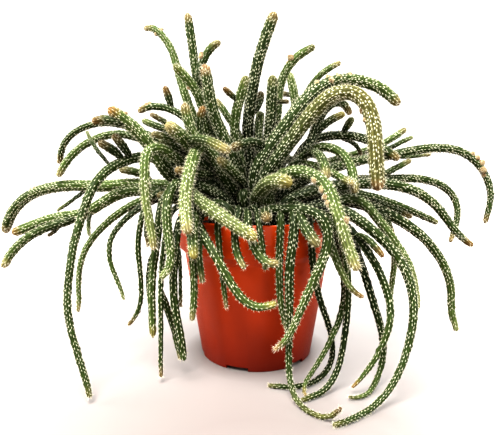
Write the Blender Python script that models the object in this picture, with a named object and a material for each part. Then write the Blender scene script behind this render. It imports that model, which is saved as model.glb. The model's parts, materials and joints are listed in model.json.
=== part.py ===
"""Potted rhipsalis horrida: a clump of bristly, arching and trailing cactus stems in a plastic nursery pot.

The pot stands on the origin, its axis is Z and its front is -Y. The stems' centre lines were drawn by hand
over a photograph, so each is a list of its pixels with a depth, and the view below turns them into places.
"""
import math
from collections import namedtuple

import bmesh
import bpy
import numpy as np
from mathutils import Matrix, Vector

MM = 0.001
CLEARANCE = 0.0003

# Pot
POT_HEIGHT = 0.109
POT_FOOT_RADIUS = 0.0430
POT_WALL_TOP_RADIUS = 0.0552
POT_COLLAR_RADIUS = 0.0600
POT_COLLAR_HEIGHT = 0.0230
POT_COLLAR_SLOPE = 0.0050
POT_WALL = 0.0016
POT_LIP = 0.0008
POT_FLOOR_LIFT = 0.0032
POT_FLOOR = 0.0018
POT_PAD_RADIUS = 0.0150
POT_PAD_SLOPE = 0.0025
POT_SEGMENTS = 32
POT_SHARP_ANGLE = math.radians(30)
FOOT_SLOTS = 6
FOOT_SLOT_WIDTH = 0.0167
FOOT_SLOT_HEIGHT = 0.0030
FOOT_SLOT_AZIMUTH = math.radians(-109.7)
DRAIN_HOLE_RADIUS = 0.0042
DRAIN_HOLE_RING = 0.0270

# Soil
SOIL_TOP = 0.0970
SOIL_RELIEF = 0.0012
SOIL_WAVES = (231.0, 197.0)
SOIL_RINGS = 3
SOIL_SEGMENTS = 18
ROOT_DEPTH = 0.0140
ROOT_REACH = 0.0470
ROOT_SPACING = 0.0016
ROOT_HOLE_SIDES = 6
ROOT_COLLAR = 0.0020
ROOT_RING_RISE = 0.0015
ROOT_LEAN = 0.25
ROOT_INWARDS = 0.85
ROOT_PUSH = 0.3
ROOT_ROUNDS = 900
ROOT_POINTS = 4

# Stems: the full width counts the barbs, which stand on every second corner of each ring
BODY_SHARE = 0.40
BARB_SHARE = 0.56
VALLEY_SHARE = 0.36
BARB_LEAN = 0.0026
JOINT_SHARE = 0.24
BLUNT_SHARE = 0.84
BLUNT_REACH = 0.80
BARB_SCATTER = 0.16
FIRST_RING = 0.58
LAST_RING = 0.40
RING_STEP = 0.0160
RING_STEP_BENT = 0.0105
BEND_PER_RING = math.radians(30)
SIDES_BY_WIDTH = ((0.0046, 4), (0.0068, 5), (1.0, 6))
ROUTE_STEP = 0.0050
STEM_GAP = 0.0011
CURVE_PARTS = 10
START_ROUNDS = 5
START_EVEN = 0.4
JOINT_REACH = 0.0200
JOINT_REACH_ALONG = 0.0280
NEAR_REACH = 0.0060
NEAR_EVERY = 12
SETTLE_ROUNDS = 480
SIGHT_PUSH = 0.26
DIRECT_PUSH_FIRST = 0.12
DIRECT_PUSH_LAST = 0.42
MOST_PUSH = 0.004
EVEN_FIRST = 0.45
EVEN_LAST = 0.16
HOME_PULL = 0.04
RIM_CLEARANCE = 0.0018
RIM_REACH = 0.0090
FLOOR_CLEARANCE = 0.0006
BUD_STAND = 0.58
SEED = 11

# Where the photograph was taken from, and its lens and centre in pixels
VIEW_FOCAL_PX = 463.8
VIEW_CENTRE_PX = (250.0, 217.5)
VIEW_EYE = np.array((-0.0050, -0.3530, 0.1593))
VIEW_PITCH = math.radians(8.735)

Stem = namedtuple("Stem", "foot widths depths pixels")
Bud = namedtuple("Bud", "stem pixel radius")

# Each stem by name: the stem that it grows from, or None for the soil, and then from foot to tip its full
# width in mm, its place in mm behind the pot's axis, and the pixels of its centre line.
STEMS = {
    # Left, reaching up and out
    "left_high": Stem(None, (7.4, 8.4, 7.6), (-12, -24, -32), [
        (228, 196), (205, 190), (184, 183), (171, 176), (162, 164), (149, 143), (136, 129), (123, 118.5),
        (113, 111), (108, 108)]),
    "left_high_side": Stem("left_high", (5.4, 5.6), (-30, -33), [
        (128, 126), (118, 121), (105, 118), (98, 118.5), (92, 121.5)]),
    "left_outer_arch": Stem(None, (5.8, 5.0, 4.6), (4, 30, 40), [
        (226, 184), (205, 168), (180, 150), (150, 136), (125, 125.5), (107, 122.5), (95, 123.5), (82, 127.5),
        (69, 136), (61, 148), (59.5, 164)]),
    "left_inner_arch": Stem("left_outer_arch", (5.4, 5.2), (16, 14, 8), [
        (180, 156), (160, 147), (138, 137.5), (122, 133), (105, 135), (88, 142), (72, 154), (61, 169),
        (58, 177)]),
    "left_long_drop": Stem(None, (7.0, 6.8, 4.6, 3.4), (-6, -20, -62, -84), [
        (230, 196), (212, 184), (188, 170), (166, 160), (145, 156), (130, 159), (118, 163), (104, 172),
        (95, 183), (88, 196), (80, 222), (73, 245), (70, 268), (67, 292), (67, 308), (71, 332), (80, 360),
        (87, 382), (90, 396)]),
    "left_long_side_1": Stem("left_long_drop", (5.2, 5.6), (-22, -27), [
        (132, 158), (126, 149), (117, 140), (113, 134)]),
    "left_long_side_2": Stem("left_long_drop", (5.4, 5.8), (-20, -27), [
        (127, 160), (117, 152), (106, 145), (98, 142)]),
    "left_long_side_3": Stem("left_long_drop", (2.6, 2.4), (-24, -14), [
        (108, 168), (100, 154), (92, 143), (86.5, 131)]),
    "left_reach": Stem(None, (7.4, 8.0, 7.2), (0, 12, 22), [
        (232, 198), (205, 190), (175, 186), (150, 185), (125, 184), (105, 186.5), (85, 185.5), (65, 185.5),
        (48, 188), (33, 193), (20, 202), (10, 215), (5, 233)]),
    "left_reach_side_1": Stem("left_reach", (5.6, 5.4), (10, 2), [
        (156, 185), (148, 176), (136, 171), (119, 169.5)]),
    "left_reach_side_2": Stem("left_reach", (2.8, 2.4), (14, 6), [
        (92, 186), (82, 193), (70, 202), (57, 211)]),
    "left_low_reach": Stem(None, (7.4, 7.6, 6.6), (-12, -16, -14), [
        (226, 204), (200, 201), (172, 195), (148, 190), (125, 191), (105, 201), (92, 210), (80, 216),
        (66, 216.5), (48, 220), (32, 226), (12, 233)]),
    "left_low_side_1": Stem("left_low_reach", (5.6, 5.6), (-16, -30), [
        (84, 215), (72, 221.5), (55, 224.5), (40, 230), (26, 238), (14, 249), (6, 259), (3, 268)]),
    "left_low_side_2": Stem("left_low_reach", (2.8, 2.6), (-16, -22), [(94, 209), (86, 220), (89.5, 236)]),
    "left_low_side_3": Stem("left_low_side_1", (2.8, 2.4), (-18, -14), [(66, 223), (57, 230), (48, 236)]),
    "left_bend": Stem(None, (6.4, 6.0, 4.4, 2.8), (-16, -26, -34), [
        (224, 207), (195, 203), (168, 198), (148, 198), (126, 208), (107, 222), (95, 235), (84, 250),
        (79, 270), (78, 286), (80, 303), (78, 312)]),
    "left_bend_side": Stem("left_bend", (4.6, 3.2, 2.4), (-24, -42, -44), [
        (158, 198), (144, 205), (126, 218), (114, 231), (108, 245), (109, 260), (115, 276), (122, 290),
        (124, 300)]),

    # Left, hanging beside the pot
    "hang_outer": Stem(None, (5.0, 4.0, 2.6), (-18, -36, -40), [
        (222, 202), (195, 196), (170, 190), (152, 194), (144, 210), (139, 230), (137.5, 248), (139.5, 265),
        (141.5, 285), (141, 302), (137, 317), (128, 325.5)]),
    "hang_outer_side": Stem("hang_outer", (5.2, 5.6), (-32, -40), [(176, 191), (167, 196), (157, 195.5)]),
    "hang_fuzzy": Stem(None, (6.6, 6.2, 4.8), (-16, -50, -58), [
        (226, 190), (200, 168), (176, 151), (156, 143), (147, 150), (145.5, 165), (145, 182), (146, 200),
        (149, 219), (152.5, 233), (154, 250)]),
    "hang_fuzzy_side": Stem("hang_fuzzy", (2.6, 2.2), (-54, -58), [(147, 212), (145, 226), (148, 247)]),
    "hang_yellow": Stem(None, (5.6, 5.2, 4.4), (-22, -50, -48), [
        (222, 206), (198, 194), (178, 186), (165, 193), (160, 210), (158.5, 232), (155.5, 252), (153, 268),
        (151.5, 290), (152, 310), (153, 336)]),
    "hang_yellow_side": Stem("hang_yellow", (3.8, 3.4), (-50, -38), [
        (157, 243), (151, 258), (148.5, 275), (149, 290), (150, 304)]),
    "hang_straight": Stem(None, (4.6, 3.6, 2.6), (-26, -50, -58), [
        (222, 210), (200, 206), (180, 204), (169, 214), (165.5, 235), (163, 255), (161, 278), (160.5, 300),
        (161, 325), (160.5, 350), (161, 375.5)]),
    "hang_straight_side": Stem("hang_straight", (4.0, 4.0), (-52, -46), [
        (161, 288), (165, 303), (171, 320), (176.5, 336), (181, 358)]),
    "hang_inner": Stem(None, (5.0, 4.8, 4.6), (-28, -62, -58), [
        (224, 213), (205, 210), (188, 212), (179, 226), (176, 245), (174.5, 265), (173, 288), (175.5, 312),
        (180, 332), (184, 359)]),
    "hang_inner_side": Stem("hang_inner", (2.4, 2.2), (-60, -58), [
        (177, 236), (180, 252), (180.3, 280), (180.5, 307)]),
    "hang_hook": Stem(None, (6.4, 6.4, 4.4), (-26, -62, -70), [
        (226, 202), (205, 190), (188, 180), (175, 181), (168, 195), (166, 212), (167.5, 230), (170.5, 247),
        (172.5, 262), (169, 274), (160, 278.5)]),
    "hang_hook_side": Stem("hang_hook", (7.2, 8.2, 6.4), (-46, -70, -76), [
        (188, 182), (193, 195), (206, 206), (220, 215), (232, 223.5), (244, 231), (257, 239)]),
    "hang_pale": Stem(None, (6.8, 7.4, 6.8), (-22, -56, -72), [
        (234, 194), (220, 172), (205, 150), (193, 142), (186.5, 149), (184.5, 164), (182.5, 182),
        (182.5, 202), (184, 220), (188.5, 234)]),
    "hang_rim": Stem(None, (5.2, 4.8, 4.0), (-30, -62, -60), [
        (228, 212), (214, 211), (200, 219), (193, 234), (194, 256), (195, 280), (194.3, 302), (192, 321)]),
    "hang_rim_side": Stem("hang_rim", (5.8, 5.8), (-50, -76), [
        (207, 214), (199, 226), (194.5, 244), (194, 259)]),

    # Front, over and before the pot
    "front_swing": Stem(None, (5.6, 5.6, 4.4), (-34, -72, -74), [
        (234, 214), (218, 216), (205, 226), (205, 241), (213, 255), (222, 270), (231, 287), (240, 300),
        (250, 309), (261, 311), (277, 303)]),
    "front_swing_side": Stem("front_swing", (4.2, 3.8), (-68, -66), [
        (205, 238), (201.5, 255), (201.5, 268), (202.5, 283)]),
    "front_plumb": Stem(None, (4.6, 4.2, 2.8), (-32, -62, -62), [
        (238, 214), (228, 221), (225.5, 236), (225.5, 258), (225.5, 283), (226.5, 308)]),
    "front_plumb_side": Stem("front_plumb", (4.6, 4.2), (-40, -68, -74), [
        (236, 215), (240, 226), (237, 238), (233.5, 251), (234, 263), (239, 269.5), (245, 269)]),
    "front_hook": Stem(None, (5.2, 5.4, 5.0), (-34, -70, -80), [
        (247, 214), (245, 226), (245.5, 240), (249, 254), (256, 267), (265, 274.5), (273, 270.5),
        (278, 262)]),
    "front_hook_side": Stem("front_hook", (3.8, 3.6), (-44, -66, -66), [
        (247, 217), (255, 219), (259, 232), (261.5, 250), (265.5, 270)]),
    "front_stub": Stem(None, (7.0, 7.2), (-22, -52, -64), [(244, 192), (242, 199), (244, 212), (247, 229)]),
    "front_up_left": Stem(None, (6.4, 7.0, 8.0), (-20, -36, -44), [
        (243, 203), (232, 194), (218, 183), (205, 173), (196, 158), (188, 143), (179, 132), (166, 124)]),
    "front_up_side_1": Stem("front_up_left", (5.8, 6.0), (-40, -52), [
        (191, 148), (199, 139), (210, 141), (221, 147.5), (230, 152)]),
    "front_up_side_2": Stem("front_up_left", (3.6, 3.4), (-42, -40), [
        (181, 134), (170, 125), (160, 118), (150, 114)]),
    "front_up_side_3": Stem("front_up_left", (4.8, 4.8), (-40, -34), [
        (190, 147), (176, 139.5), (162, 135.5), (151, 134)]),
    "front_up_side_4": Stem("front_up_left", (5.0, 5.4), (-34, -26), [
        (198, 163), (184, 154), (170, 146), (157, 142)]),
    "front_up_side_5": Stem("front_up_left", (5.4, 6.2), (-32, -54), [
        (214, 181), (201, 180), (187, 175), (175, 170)]),
    "front_up_side_6": Stem("front_up_left", (6.0, 5.8), (-24, -46), [
        (240, 201), (240, 190), (232, 178), (225, 167), (218, 158)]),
    "front_yellow": Stem(None, (8.0, 8.4), (-26, -48, -62), [
        (252, 208), (255, 197), (262, 187), (272, 180), (282, 179.5), (291.5, 184)]),
    "front_shoulder": Stem(None, (8.0, 8.2, 7.2, 6.0), (-18, -44, -70, -80), [
        (262, 198), (268, 186), (278, 177), (291, 171.5), (306, 172), (319, 178), (328, 188), (333, 200),
        (337, 212), (342, 228), (348, 246), (353, 260), (357.5, 271)]),
    "front_cross": Stem(None, (6.2, 6.4, 5.4, 3.0), (-40, -68, -76, -74), [
        (258, 211), (270, 210), (286, 209.5), (302, 210), (316, 211), (325, 218), (329.5, 232), (328, 248),
        (320, 266), (310, 289), (300, 311), (291, 333), (283, 346), (274, 350)]),
    "front_cross_side_1": Stem("front_cross", (6.2, 6.4), (-62, -78), [
        (292, 211), (301, 222), (310, 235), (319, 247)]),
    "front_cross_side_2": Stem("front_cross", (5.6, 6.2), (-50, -78), [
        (262, 211), (264, 215), (268, 219.5)]),
    "front_drop": Stem("front_cross", (4.4, 4.2, 3.6), (-48, -68, -68), [
        (276, 211), (281, 223), (281, 238), (279.5, 258), (279, 280), (280, 303), (284, 320), (288, 331.5)]),
    "front_trail": Stem("front_cross", (5.6, 5.2, 4.2, 3.2, 2.4), (-60, -72, -72, -90, -110), [
        (289, 210), (295, 217), (295, 230), (291.5, 250), (289, 275), (289.5, 300), (289, 330), (288.5, 355),
        (289.5, 380), (292, 393), (302, 407), (315, 416.5), (327, 418.5), (336, 413.5), (341, 406)]),
    "front_ring": Stem(None, (5.4, 4.4, 3.6, 3.0), (-34, -52, -46, -60), [
        (292, 209), (303, 224), (309, 242), (311.5, 265), (314, 287), (321, 309), (329, 328), (333, 345),
        (332.5, 361), (325, 373), (310, 383), (292, 387), (268, 384)]),

    # Top
    "top_left": Stem(None, (6.6, 6.4, 4.4), (4, 22, 30), [
        (230, 182), (215, 156), (201, 131), (191, 112), (184, 91), (178.5, 74), (174.5, 56), (167, 41),
        (157, 28.5), (149, 24.5), (144, 29)]),
    "top_left_side": Stem("top_left", (6.0, 6.0), (10, 0), [
        (214, 154), (206, 128), (202, 106), (193, 85), (174, 65)]),
    "top_slim": Stem(None, (6.4, 6.2, 6.0), (8, 24, 26), [
        (236, 182), (226, 155), (212, 128), (201, 98), (195.5, 72), (193, 50), (190, 30), (187.5, 13)]),
    "top_slim_side": Stem("top_slim", (5.4, 5.4), (20, 12), [
        (200, 94), (198.5, 72), (205, 56), (211, 44), (220.5, 41.5)]),
    "top_pink": Stem(None, (7.2, 7.8, 7.0), (-6, -2, -8), [
        (243, 182), (236, 160), (228, 143), (219, 127), (213, 112), (209, 92), (205, 64)]),
    "top_far_left": Stem(None, (5.6, 5.4, 5.0), (6, 24, 26), [
        (232, 188), (216, 164), (200, 138), (187, 119), (175, 110.5), (160, 106), (146, 105.5), (138, 112)]),
    "top_far_side_1": Stem("top_far_left", (5.4, 5.4), (24, 26), [(172, 110), (169.5, 99), (164.5, 86)]),
    "top_far_side_2": Stem("top_far_left", (5.0, 5.0), (16, 26), [
        (197, 134), (178, 132), (160, 127.5), (142, 120)]),
    "top_short": Stem(None, (6.4, 6.4, 6.2), (-10, -12, -16), [
        (236, 188), (220, 168), (205, 149), (194, 134), (188, 121), (184, 103)]),
    "top_short_side": Stem("top_short", (5.2, 5.2), (-10, -4), [
        (208, 153), (199.5, 137), (198, 122), (203.5, 106)]),
    "top_middle": Stem(None, (6.8, 6.6, 6.4), (2, 4, -2), [
        (246, 184), (240, 158), (235, 136), (235.5, 115), (241, 95), (246.5, 75.5)]),
    "top_middle_side_1": Stem("top_middle", (4.4, 4.2), (4, -6), [(237, 104), (231, 94), (223.5, 87.5)]),
    "top_middle_side_2": Stem("top_middle", (4.8, 4.6), (6, 16), [
        (240, 160), (243, 140), (235, 127), (225, 112), (216, 99)]),
    "top_tall": Stem(None, (7.8, 8.0, 7.4), (6, 14, 10), [
        (252, 184), (248, 158), (247, 132), (249, 110), (252, 90), (257, 65), (264.5, 40), (275, 11.5)]),
    "top_tall_side": Stem("top_tall", (5.4, 5.4), (14, 26), [
        (249.5, 118), (258, 107), (261, 98), (261, 91.5)]),
    "top_blunt": Stem(None, (7.6, 7.8, 7.2), (4, 12, 8), [
        (260, 184), (264, 160), (269, 137), (271, 112), (272, 92), (273, 75)]),
    "top_blunt_side_1": Stem("top_blunt", (6.6, 6.6), (10, 30), [
        (264, 160), (257, 142), (259, 126), (260.5, 111.5)]),
    "top_blunt_side_2": Stem("top_blunt", (3.6, 3.4), (12, 14), [(271, 104), (279, 101.5), (289, 101.5)]),
    "top_lean": Stem(None, (5.6, 6.4, 5.6), (10, 32, 28), [
        (266, 188), (271, 160), (276, 130), (278, 104), (280, 84), (287, 68), (299, 54), (315, 46)]),
    "top_back": Stem(None, (6.8, 7.2, 6.4), (20, 54, 56), [
        (274, 182), (284, 152), (295, 122), (295.5, 102), (292.5, 86), (289, 72)]),
    "top_back_side_1": Stem("top_back", (4.6, 4.6), (54, 58), [(294, 95), (288, 94), (280, 93.5)]),
    "top_back_side_2": Stem("top_back", (3.8, 4.6, 4.4), (30, 40, 34), [
        (278, 168), (294, 124), (304, 97), (313, 83), (324, 70.5), (341, 62)]),

    # Right, reaching up and out
    "right_great_arch": Stem(None, (8.2, 9.2, 7.8, 6.4), (-10, -4, 10, 8), [
        (252, 188), (258, 165), (271, 146), (286, 126), (300, 106), (315, 91), (333, 81), (350, 79),
        (368, 82.5), (384, 89.5), (399.5, 105)]),
    "right_great_side": Stem("right_great_arch", (6.2, 6.4), (-6, -14), [
        (267, 151), (262, 141.5), (247, 141.5), (231, 149)]),
    "right_pink_arch": Stem(None, (7.8, 8.4, 7.8), (-18, -22, -40), [
        (258, 201), (262, 183), (277, 159), (292, 139), (307, 119), (323, 101), (339, 91.5), (355, 91.5),
        (367, 103), (373.5, 122), (375.5, 145), (378, 191)]),
    "right_dark_arch": Stem(None, (7.4, 7.0, 5.0), (4, 16, 18), [
        (272, 196), (292, 170), (309, 147), (315.5, 128), (325, 108), (337, 100), (347, 103), (350, 115)]),
    "right_dark_side": Stem("right_dark_arch", (5.2, 5.2), (14, 6), [
        (314, 136), (322, 127), (332, 117.5), (345, 113.5)]),
    "right_level": Stem(None, (6.2, 6.4, 6.2), (8, 32, 16), [
        (276, 192), (292, 166), (306, 144), (322, 136.5), (345, 135), (363, 137.5), (381, 147), (399, 160)]),
    "right_level_side_1": Stem("right_level", (5.4, 5.6), (32, 20), [(343, 135), (347, 125), (353, 117.5)]),
    "right_level_side_2": Stem("right_level", (3.2, 3.0), (32, 40), [
        (338, 135), (348, 140.5), (358, 144), (362, 157)]),
    "right_fuzzy_arch": Stem(None, (5.6, 5.8, 5.6), (-12, -26, -44), [
        (270, 196), (290, 174), (308, 154), (323, 145.5), (337, 148.5), (348, 158), (354, 173),
        (354.5, 193)]),
    "right_fuzzy_side_1": Stem("right_fuzzy_arch", (6.0, 6.0), (-22, -48), [
        (305, 157), (318, 152), (325, 163), (327, 178)]),
    "right_fuzzy_side_2": Stem("right_fuzzy_arch", (4.0, 4.4, 5.0), (-16, -30, -46), [
        (279, 187), (289, 164), (303, 161), (321, 167), (337, 175), (353, 184.5)]),
    "right_twin": Stem(None, (5.6, 5.4, 5.2), (14, 50, 58), [
        (280, 188), (310, 168), (340, 158), (368, 150), (388, 141), (406, 128.5)]),
    "right_twin_side": Stem("right_twin", (3.6, 3.6), (40, 44), [
        (366, 152), (388, 150), (400, 142), (413, 137)]),
    "right_far_arch": Stem(None, (7.0, 6.8, 6.4, 3.6), (0, 26, 30, 18), [
        (276, 198), (300, 182), (330, 169), (362, 160), (392, 155), (415, 150), (440, 147.5), (460, 150.5),
        (475, 160), (486, 175), (491.5, 196), (485, 223.5)]),
    "right_far_side": Stem("right_far_arch", (2.6, 2.4), (28, 20), [
        (388, 156), (404, 158), (418, 156), (431, 154.5)]),
    "right_orange_tip": Stem(None, (7.2, 7.6, 6.4, 4.2), (-10, -12, -22), [
        (280, 204), (310, 192), (340, 185), (370, 183.5), (395, 185), (415, 190.5), (432, 201), (445, 216),
        (456, 233), (473, 246)]),
    "right_under_arch": Stem("right_orange_tip", (6.0, 6.4, 5.4, 3.4), (-6, 24, 30, 10), [
        (330, 187), (350, 179), (375, 180), (400, 178.5), (420, 178.5), (440, 184), (453, 194), (458.5, 210),
        (455, 229), (450, 242)]),
    "right_under_side": Stem("right_under_arch", (4.4, 4.2), (12, 22), [
        (373, 180), (390, 171), (411, 160)]),
    "right_slant": Stem(None, (6.6, 6.6, 4.4), (0, 8, 6), [
        (284, 208), (312, 199), (340, 194.5), (368, 196), (390, 202.5), (413, 211.5), (438, 223)]),
    "right_slant_side": Stem("right_slant", (3.8, 3.8), (6, -4), [
        (366, 196), (382, 205), (398, 210.5), (412, 217.5)]),

    # Right, hanging and trailing
    "right_far_drop": Stem(None, (5.8, 5.4, 4.2), (14, 44, 48), [
        (284, 200), (318, 186), (350, 189), (374, 203), (387, 222), (393, 243), (394.5, 265), (391, 288),
        (389, 304)]),
    "right_wide_drop": Stem(None, (7.2, 7.8, 6.2, 4.0), (-8, -24, -30), [
        (286, 214), (314, 204), (342, 200.5), (366, 205), (390, 215), (413, 228.5), (432, 246), (446, 269),
        (452, 292), (450.5, 314), (457, 329.5)]),
    "right_wide_side": Stem("right_wide_drop", (4.4, 4.2), (-24, -34), [
        (372, 208), (384, 216), (391, 226), (393, 237)]),
    "right_floor_trail": Stem(None, (7.0, 7.2, 5.4, 3.8, 3.0), (-20, -48, -66, -86, -108), [
        (290, 215), (318, 212), (346, 216), (368, 229.5), (390, 248), (406, 271), (413.5, 297), (413, 325),
        (405, 357), (389, 390), (367, 410.5), (347, 421), (333, 424)]),
    "right_floor_side": Stem("right_floor_trail", (6.0, 5.8, 3.8), (-36, -34, -42), [
        (320, 212), (348, 199), (364, 204), (381, 224), (399, 248), (412.5, 272), (418, 309)]),
    "right_curl": Stem(None, (5.6, 5.2, 4.4, 2.2), (-34, -60, -76, -72), [
        (300, 214), (326, 219), (348, 234), (368, 255), (383, 281), (391, 306), (389, 331), (377, 355),
        (363, 375.5), (352, 386)]),
    "right_curl_side_1": Stem("right_curl", (5.0, 4.8, 4.0, 2.2), (-46, -56, -60, -80), [
        (330, 221), (349, 240), (362, 270), (372, 300), (380, 325), (384, 348), (379, 374), (366, 396),
        (358, 399.5), (348.5, 395)]),
    "right_curl_side_2": Stem("right_curl", (3.8, 4.0), (-58, -74), [
        (350, 236), (364, 238.5), (375, 247), (383.5, 257)]),
    "right_loop": Stem(None, (5.2, 5.0, 4.0, 3.2), (-34, -54, -66, -86), [
        (298, 217), (320, 225), (337, 239), (345, 258), (348, 285), (347.5, 312), (344, 342), (338, 370),
        (326, 390.5), (313, 398), (300, 401)]),
    "right_loop_side": Stem("right_loop", (5.0, 4.6, 3.6, 2.0), (-44, -48, -62, -80), [
        (325, 228), (336, 246), (343, 270), (345, 296), (340, 320), (329, 343), (316, 366), (304, 383),
        (301, 391), (306, 397.5)]),
    "right_gold": Stem("right_loop", (4.8, 4.8, 2.8), (-44, -62, -74), [
        (312, 222), (319, 234), (327, 249), (337, 271), (347, 289), (355, 297), (363.5, 297.5)]),
}

# The side that the photograph doesn't show: the same arching stems, each with one side stem.
# Azimuth in degrees, reach, crest height and tip height in mm.
BACK_STEMS = {
    "back_1": (62, 104, 150, 58),
    "back_2": (76, 128, 146, 22),
    "back_3": (88, 96, 152, 84),
    "back_4": (99, 138, 144, 12),
    "back_5": (110, 108, 150, 48),
    "back_6": (122, 96, 146, 70),
    "back_7": (105, 78, 138, 18),
}
BACK_WIDTHS = (6.6, 6.2, 4.6)
BACK_START = 122
BACK_DIP = 16
BACK_SIDE_TURN = 13
BACK_SIDE_SHARE = 0.86
BACK_SIDE_LIFT = 16

BUDS = [
    Bud("left_high", (129, 111), 2.2),
    Bud("left_reach", (28, 182.5), 2.0),
    Bud("left_reach", (33, 186), 1.8),
    Bud("top_left", (163.5, 28.5), 2.0),
    Bud("top_left", (156, 34), 1.8),
    Bud("top_left_side", (187, 88), 2.0),
    Bud("top_slim_side", (202, 55.5), 3.0),
    Bud("top_far_left", (144, 102.5), 1.9),
    Bud("top_far_left", (150, 99), 2.0),
    Bud("top_lean", (291, 58), 3.0),
    Bud("top_lean", (286.5, 60.5), 1.6),
    Bud("right_great_arch", (317, 82), 2.7),
    Bud("right_great_arch", (327, 75.5), 2.8),
    Bud("right_great_arch", (331, 81), 2.6),
    Bud("right_great_arch", (338, 73), 2.3),
    Bud("right_great_arch", (341, 78), 2.2),
    Bud("right_great_arch", (350, 71), 2.4),
    Bud("right_great_arch", (346, 74.5), 1.8),
    Bud("right_pink_arch", (363, 110.5), 2.9),
    Bud("right_pink_arch", (365, 120), 2.6),
    Bud("right_far_arch", (476, 148.5), 2.4),
    Bud("right_far_arch", (483, 150), 2.6),
    Bud("right_far_arch", (487, 157), 2.8),
    Bud("right_far_arch", (483, 170), 2.9),
    Bud("right_far_arch", (484, 175), 2.0),
    Bud("front_shoulder", (315, 180), 2.7),
    Bud("front_shoulder", (323, 189), 2.8),
    Bud("front_shoulder", (321, 198), 2.5),
    Bud("front_shoulder", (327, 203), 2.3),
    Bud("front_shoulder", (327, 207), 2.0),
    Bud("front_shoulder", (348, 218), 2.7),
]

POT_COLOUR = (0.42, 0.042, 0.012)
POT_ROUGHNESS = 0.38
SOIL_COLOUR = (0.018, 0.012, 0.008)
SOIL_ROUGHNESS = 0.95
STEM_ROUGHNESS = 0.55
STEM_COLOURS = ((0.050, 0.095, 0.022), (0.085, 0.140, 0.030), (0.040, 0.075, 0.020))


def clear_scene():
    for obj in list(bpy.data.objects):
        bpy.data.objects.remove(obj, do_unlink=True)


def material(name, colour, roughness):
    made = bpy.data.materials.new(name)
    made.use_nodes = True
    shader = made.node_tree.nodes["Principled BSDF"]
    shader.inputs["Base Color"].default_value = (*colour, 1.0)
    shader.inputs["Roughness"].default_value = roughness
    return made


def object_from(bm, name, look=None):
    """Puts the bmesh in the scene as an object, with its faces turned outwards."""
    bmesh.ops.recalc_face_normals(bm, faces=bm.faces)
    mesh = bpy.data.meshes.new(name)
    bm.to_mesh(mesh)
    bm.free()
    if look is not None:
        mesh.materials.append(look)
    obj = bpy.data.objects.new(name, mesh)
    bpy.context.scene.collection.objects.link(obj)
    return obj


def turned(profile, segments):
    """A closed body turned round Z from a profile of (radius, height) that starts and ends on the axis."""
    bm = bmesh.new()
    rings = []
    for radius, height in profile:
        if radius < 1e-9:
            rings.append([bm.verts.new((0.0, 0.0, height))])
            continue
        ring = []
        for k in range(segments):
            angle = 2 * math.pi * k / segments
            ring.append(bm.verts.new((radius * math.cos(angle), radius * math.sin(angle), height)))
        rings.append(ring)
    for low, high in zip(rings, rings[1:]):
        for k in range(segments):
            n = k + 1
            corners = [low[k % len(low)], low[n % len(low)], high[n % len(high)], high[k % len(high)]]
            bm.faces.new(list(dict.fromkeys(corners)))
    return bm


def apply_boolean(obj, others, operation):
    """Cuts or joins the objects of a collection with this one, applies it, and removes them."""
    group = bpy.data.collections.new(obj.name + "_" + operation.lower())
    for other in others:
        group.objects.link(other)
    modifier = obj.modifiers.new(operation.title(), "BOOLEAN")
    modifier.operation = operation
    modifier.operand_type = "COLLECTION"
    modifier.collection = group
    modifier.solver = "EXACT"
    graph = bpy.context.evaluated_depsgraph_get()
    joined = bpy.data.meshes.new_from_object(obj.evaluated_get(graph), depsgraph=graph)
    obj.modifiers.remove(modifier)
    before = obj.data
    obj.data = joined
    bpy.data.meshes.remove(before)
    for other in others:
        bpy.data.objects.remove(other, do_unlink=True)
    bpy.data.collections.remove(group)


def make_pot():
    collar_foot = POT_HEIGHT - POT_COLLAR_HEIGHT
    wall_top = collar_foot - POT_COLLAR_SLOPE
    inner_foot = POT_FLOOR_LIFT + POT_FLOOR

    def wall_radius(height):
        return POT_FOOT_RADIUS + (POT_WALL_TOP_RADIUS - POT_FOOT_RADIUS) * height / wall_top

    profile = [
        (0.0, 0.0),
        (POT_PAD_RADIUS, 0.0),
        (POT_PAD_RADIUS + POT_PAD_SLOPE, POT_FLOOR_LIFT),
        (POT_FOOT_RADIUS - 2 * POT_WALL, POT_FLOOR_LIFT),
        (POT_FOOT_RADIUS - 1.5 * POT_WALL, 0.0),
        (POT_FOOT_RADIUS - 0.25 * POT_WALL, 0.0),
        (wall_radius(0.25 * POT_WALL), 0.25 * POT_WALL),
        (POT_WALL_TOP_RADIUS, wall_top),
        (POT_COLLAR_RADIUS, collar_foot),
        (POT_COLLAR_RADIUS, POT_HEIGHT - POT_LIP),
        (POT_COLLAR_RADIUS - POT_LIP, POT_HEIGHT),
        (POT_COLLAR_RADIUS - POT_WALL, POT_HEIGHT - 0.5 * POT_LIP),
        (POT_COLLAR_RADIUS - POT_WALL, collar_foot),
        (POT_WALL_TOP_RADIUS - POT_WALL, wall_top),
        (wall_radius(inner_foot) - POT_WALL, inner_foot),
        (POT_PAD_RADIUS + POT_PAD_SLOPE, inner_foot),
        (POT_PAD_RADIUS, POT_FLOOR),
        (0.0, POT_FLOOR),
    ]
    look = material("terracotta_plastic", POT_COLOUR, POT_ROUGHNESS)
    pot = object_from(turned(profile, POT_SEGMENTS), "nursery_pot", look)
    part = 2 * math.pi / FOOT_SLOTS
    cutters = [foot_slot_cutter(FOOT_SLOT_AZIMUTH + part * k) for k in range(FOOT_SLOTS)]
    cutters += [drain_cutter(FOOT_SLOT_AZIMUTH + part * (k + 0.5)) for k in range(FOOT_SLOTS)]
    apply_boolean(pot, cutters, "DIFFERENCE")
    pot.data.shade_smooth()
    pot.data.set_sharp_from_angle(angle=POT_SHARP_ANGLE)
    return pot


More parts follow.
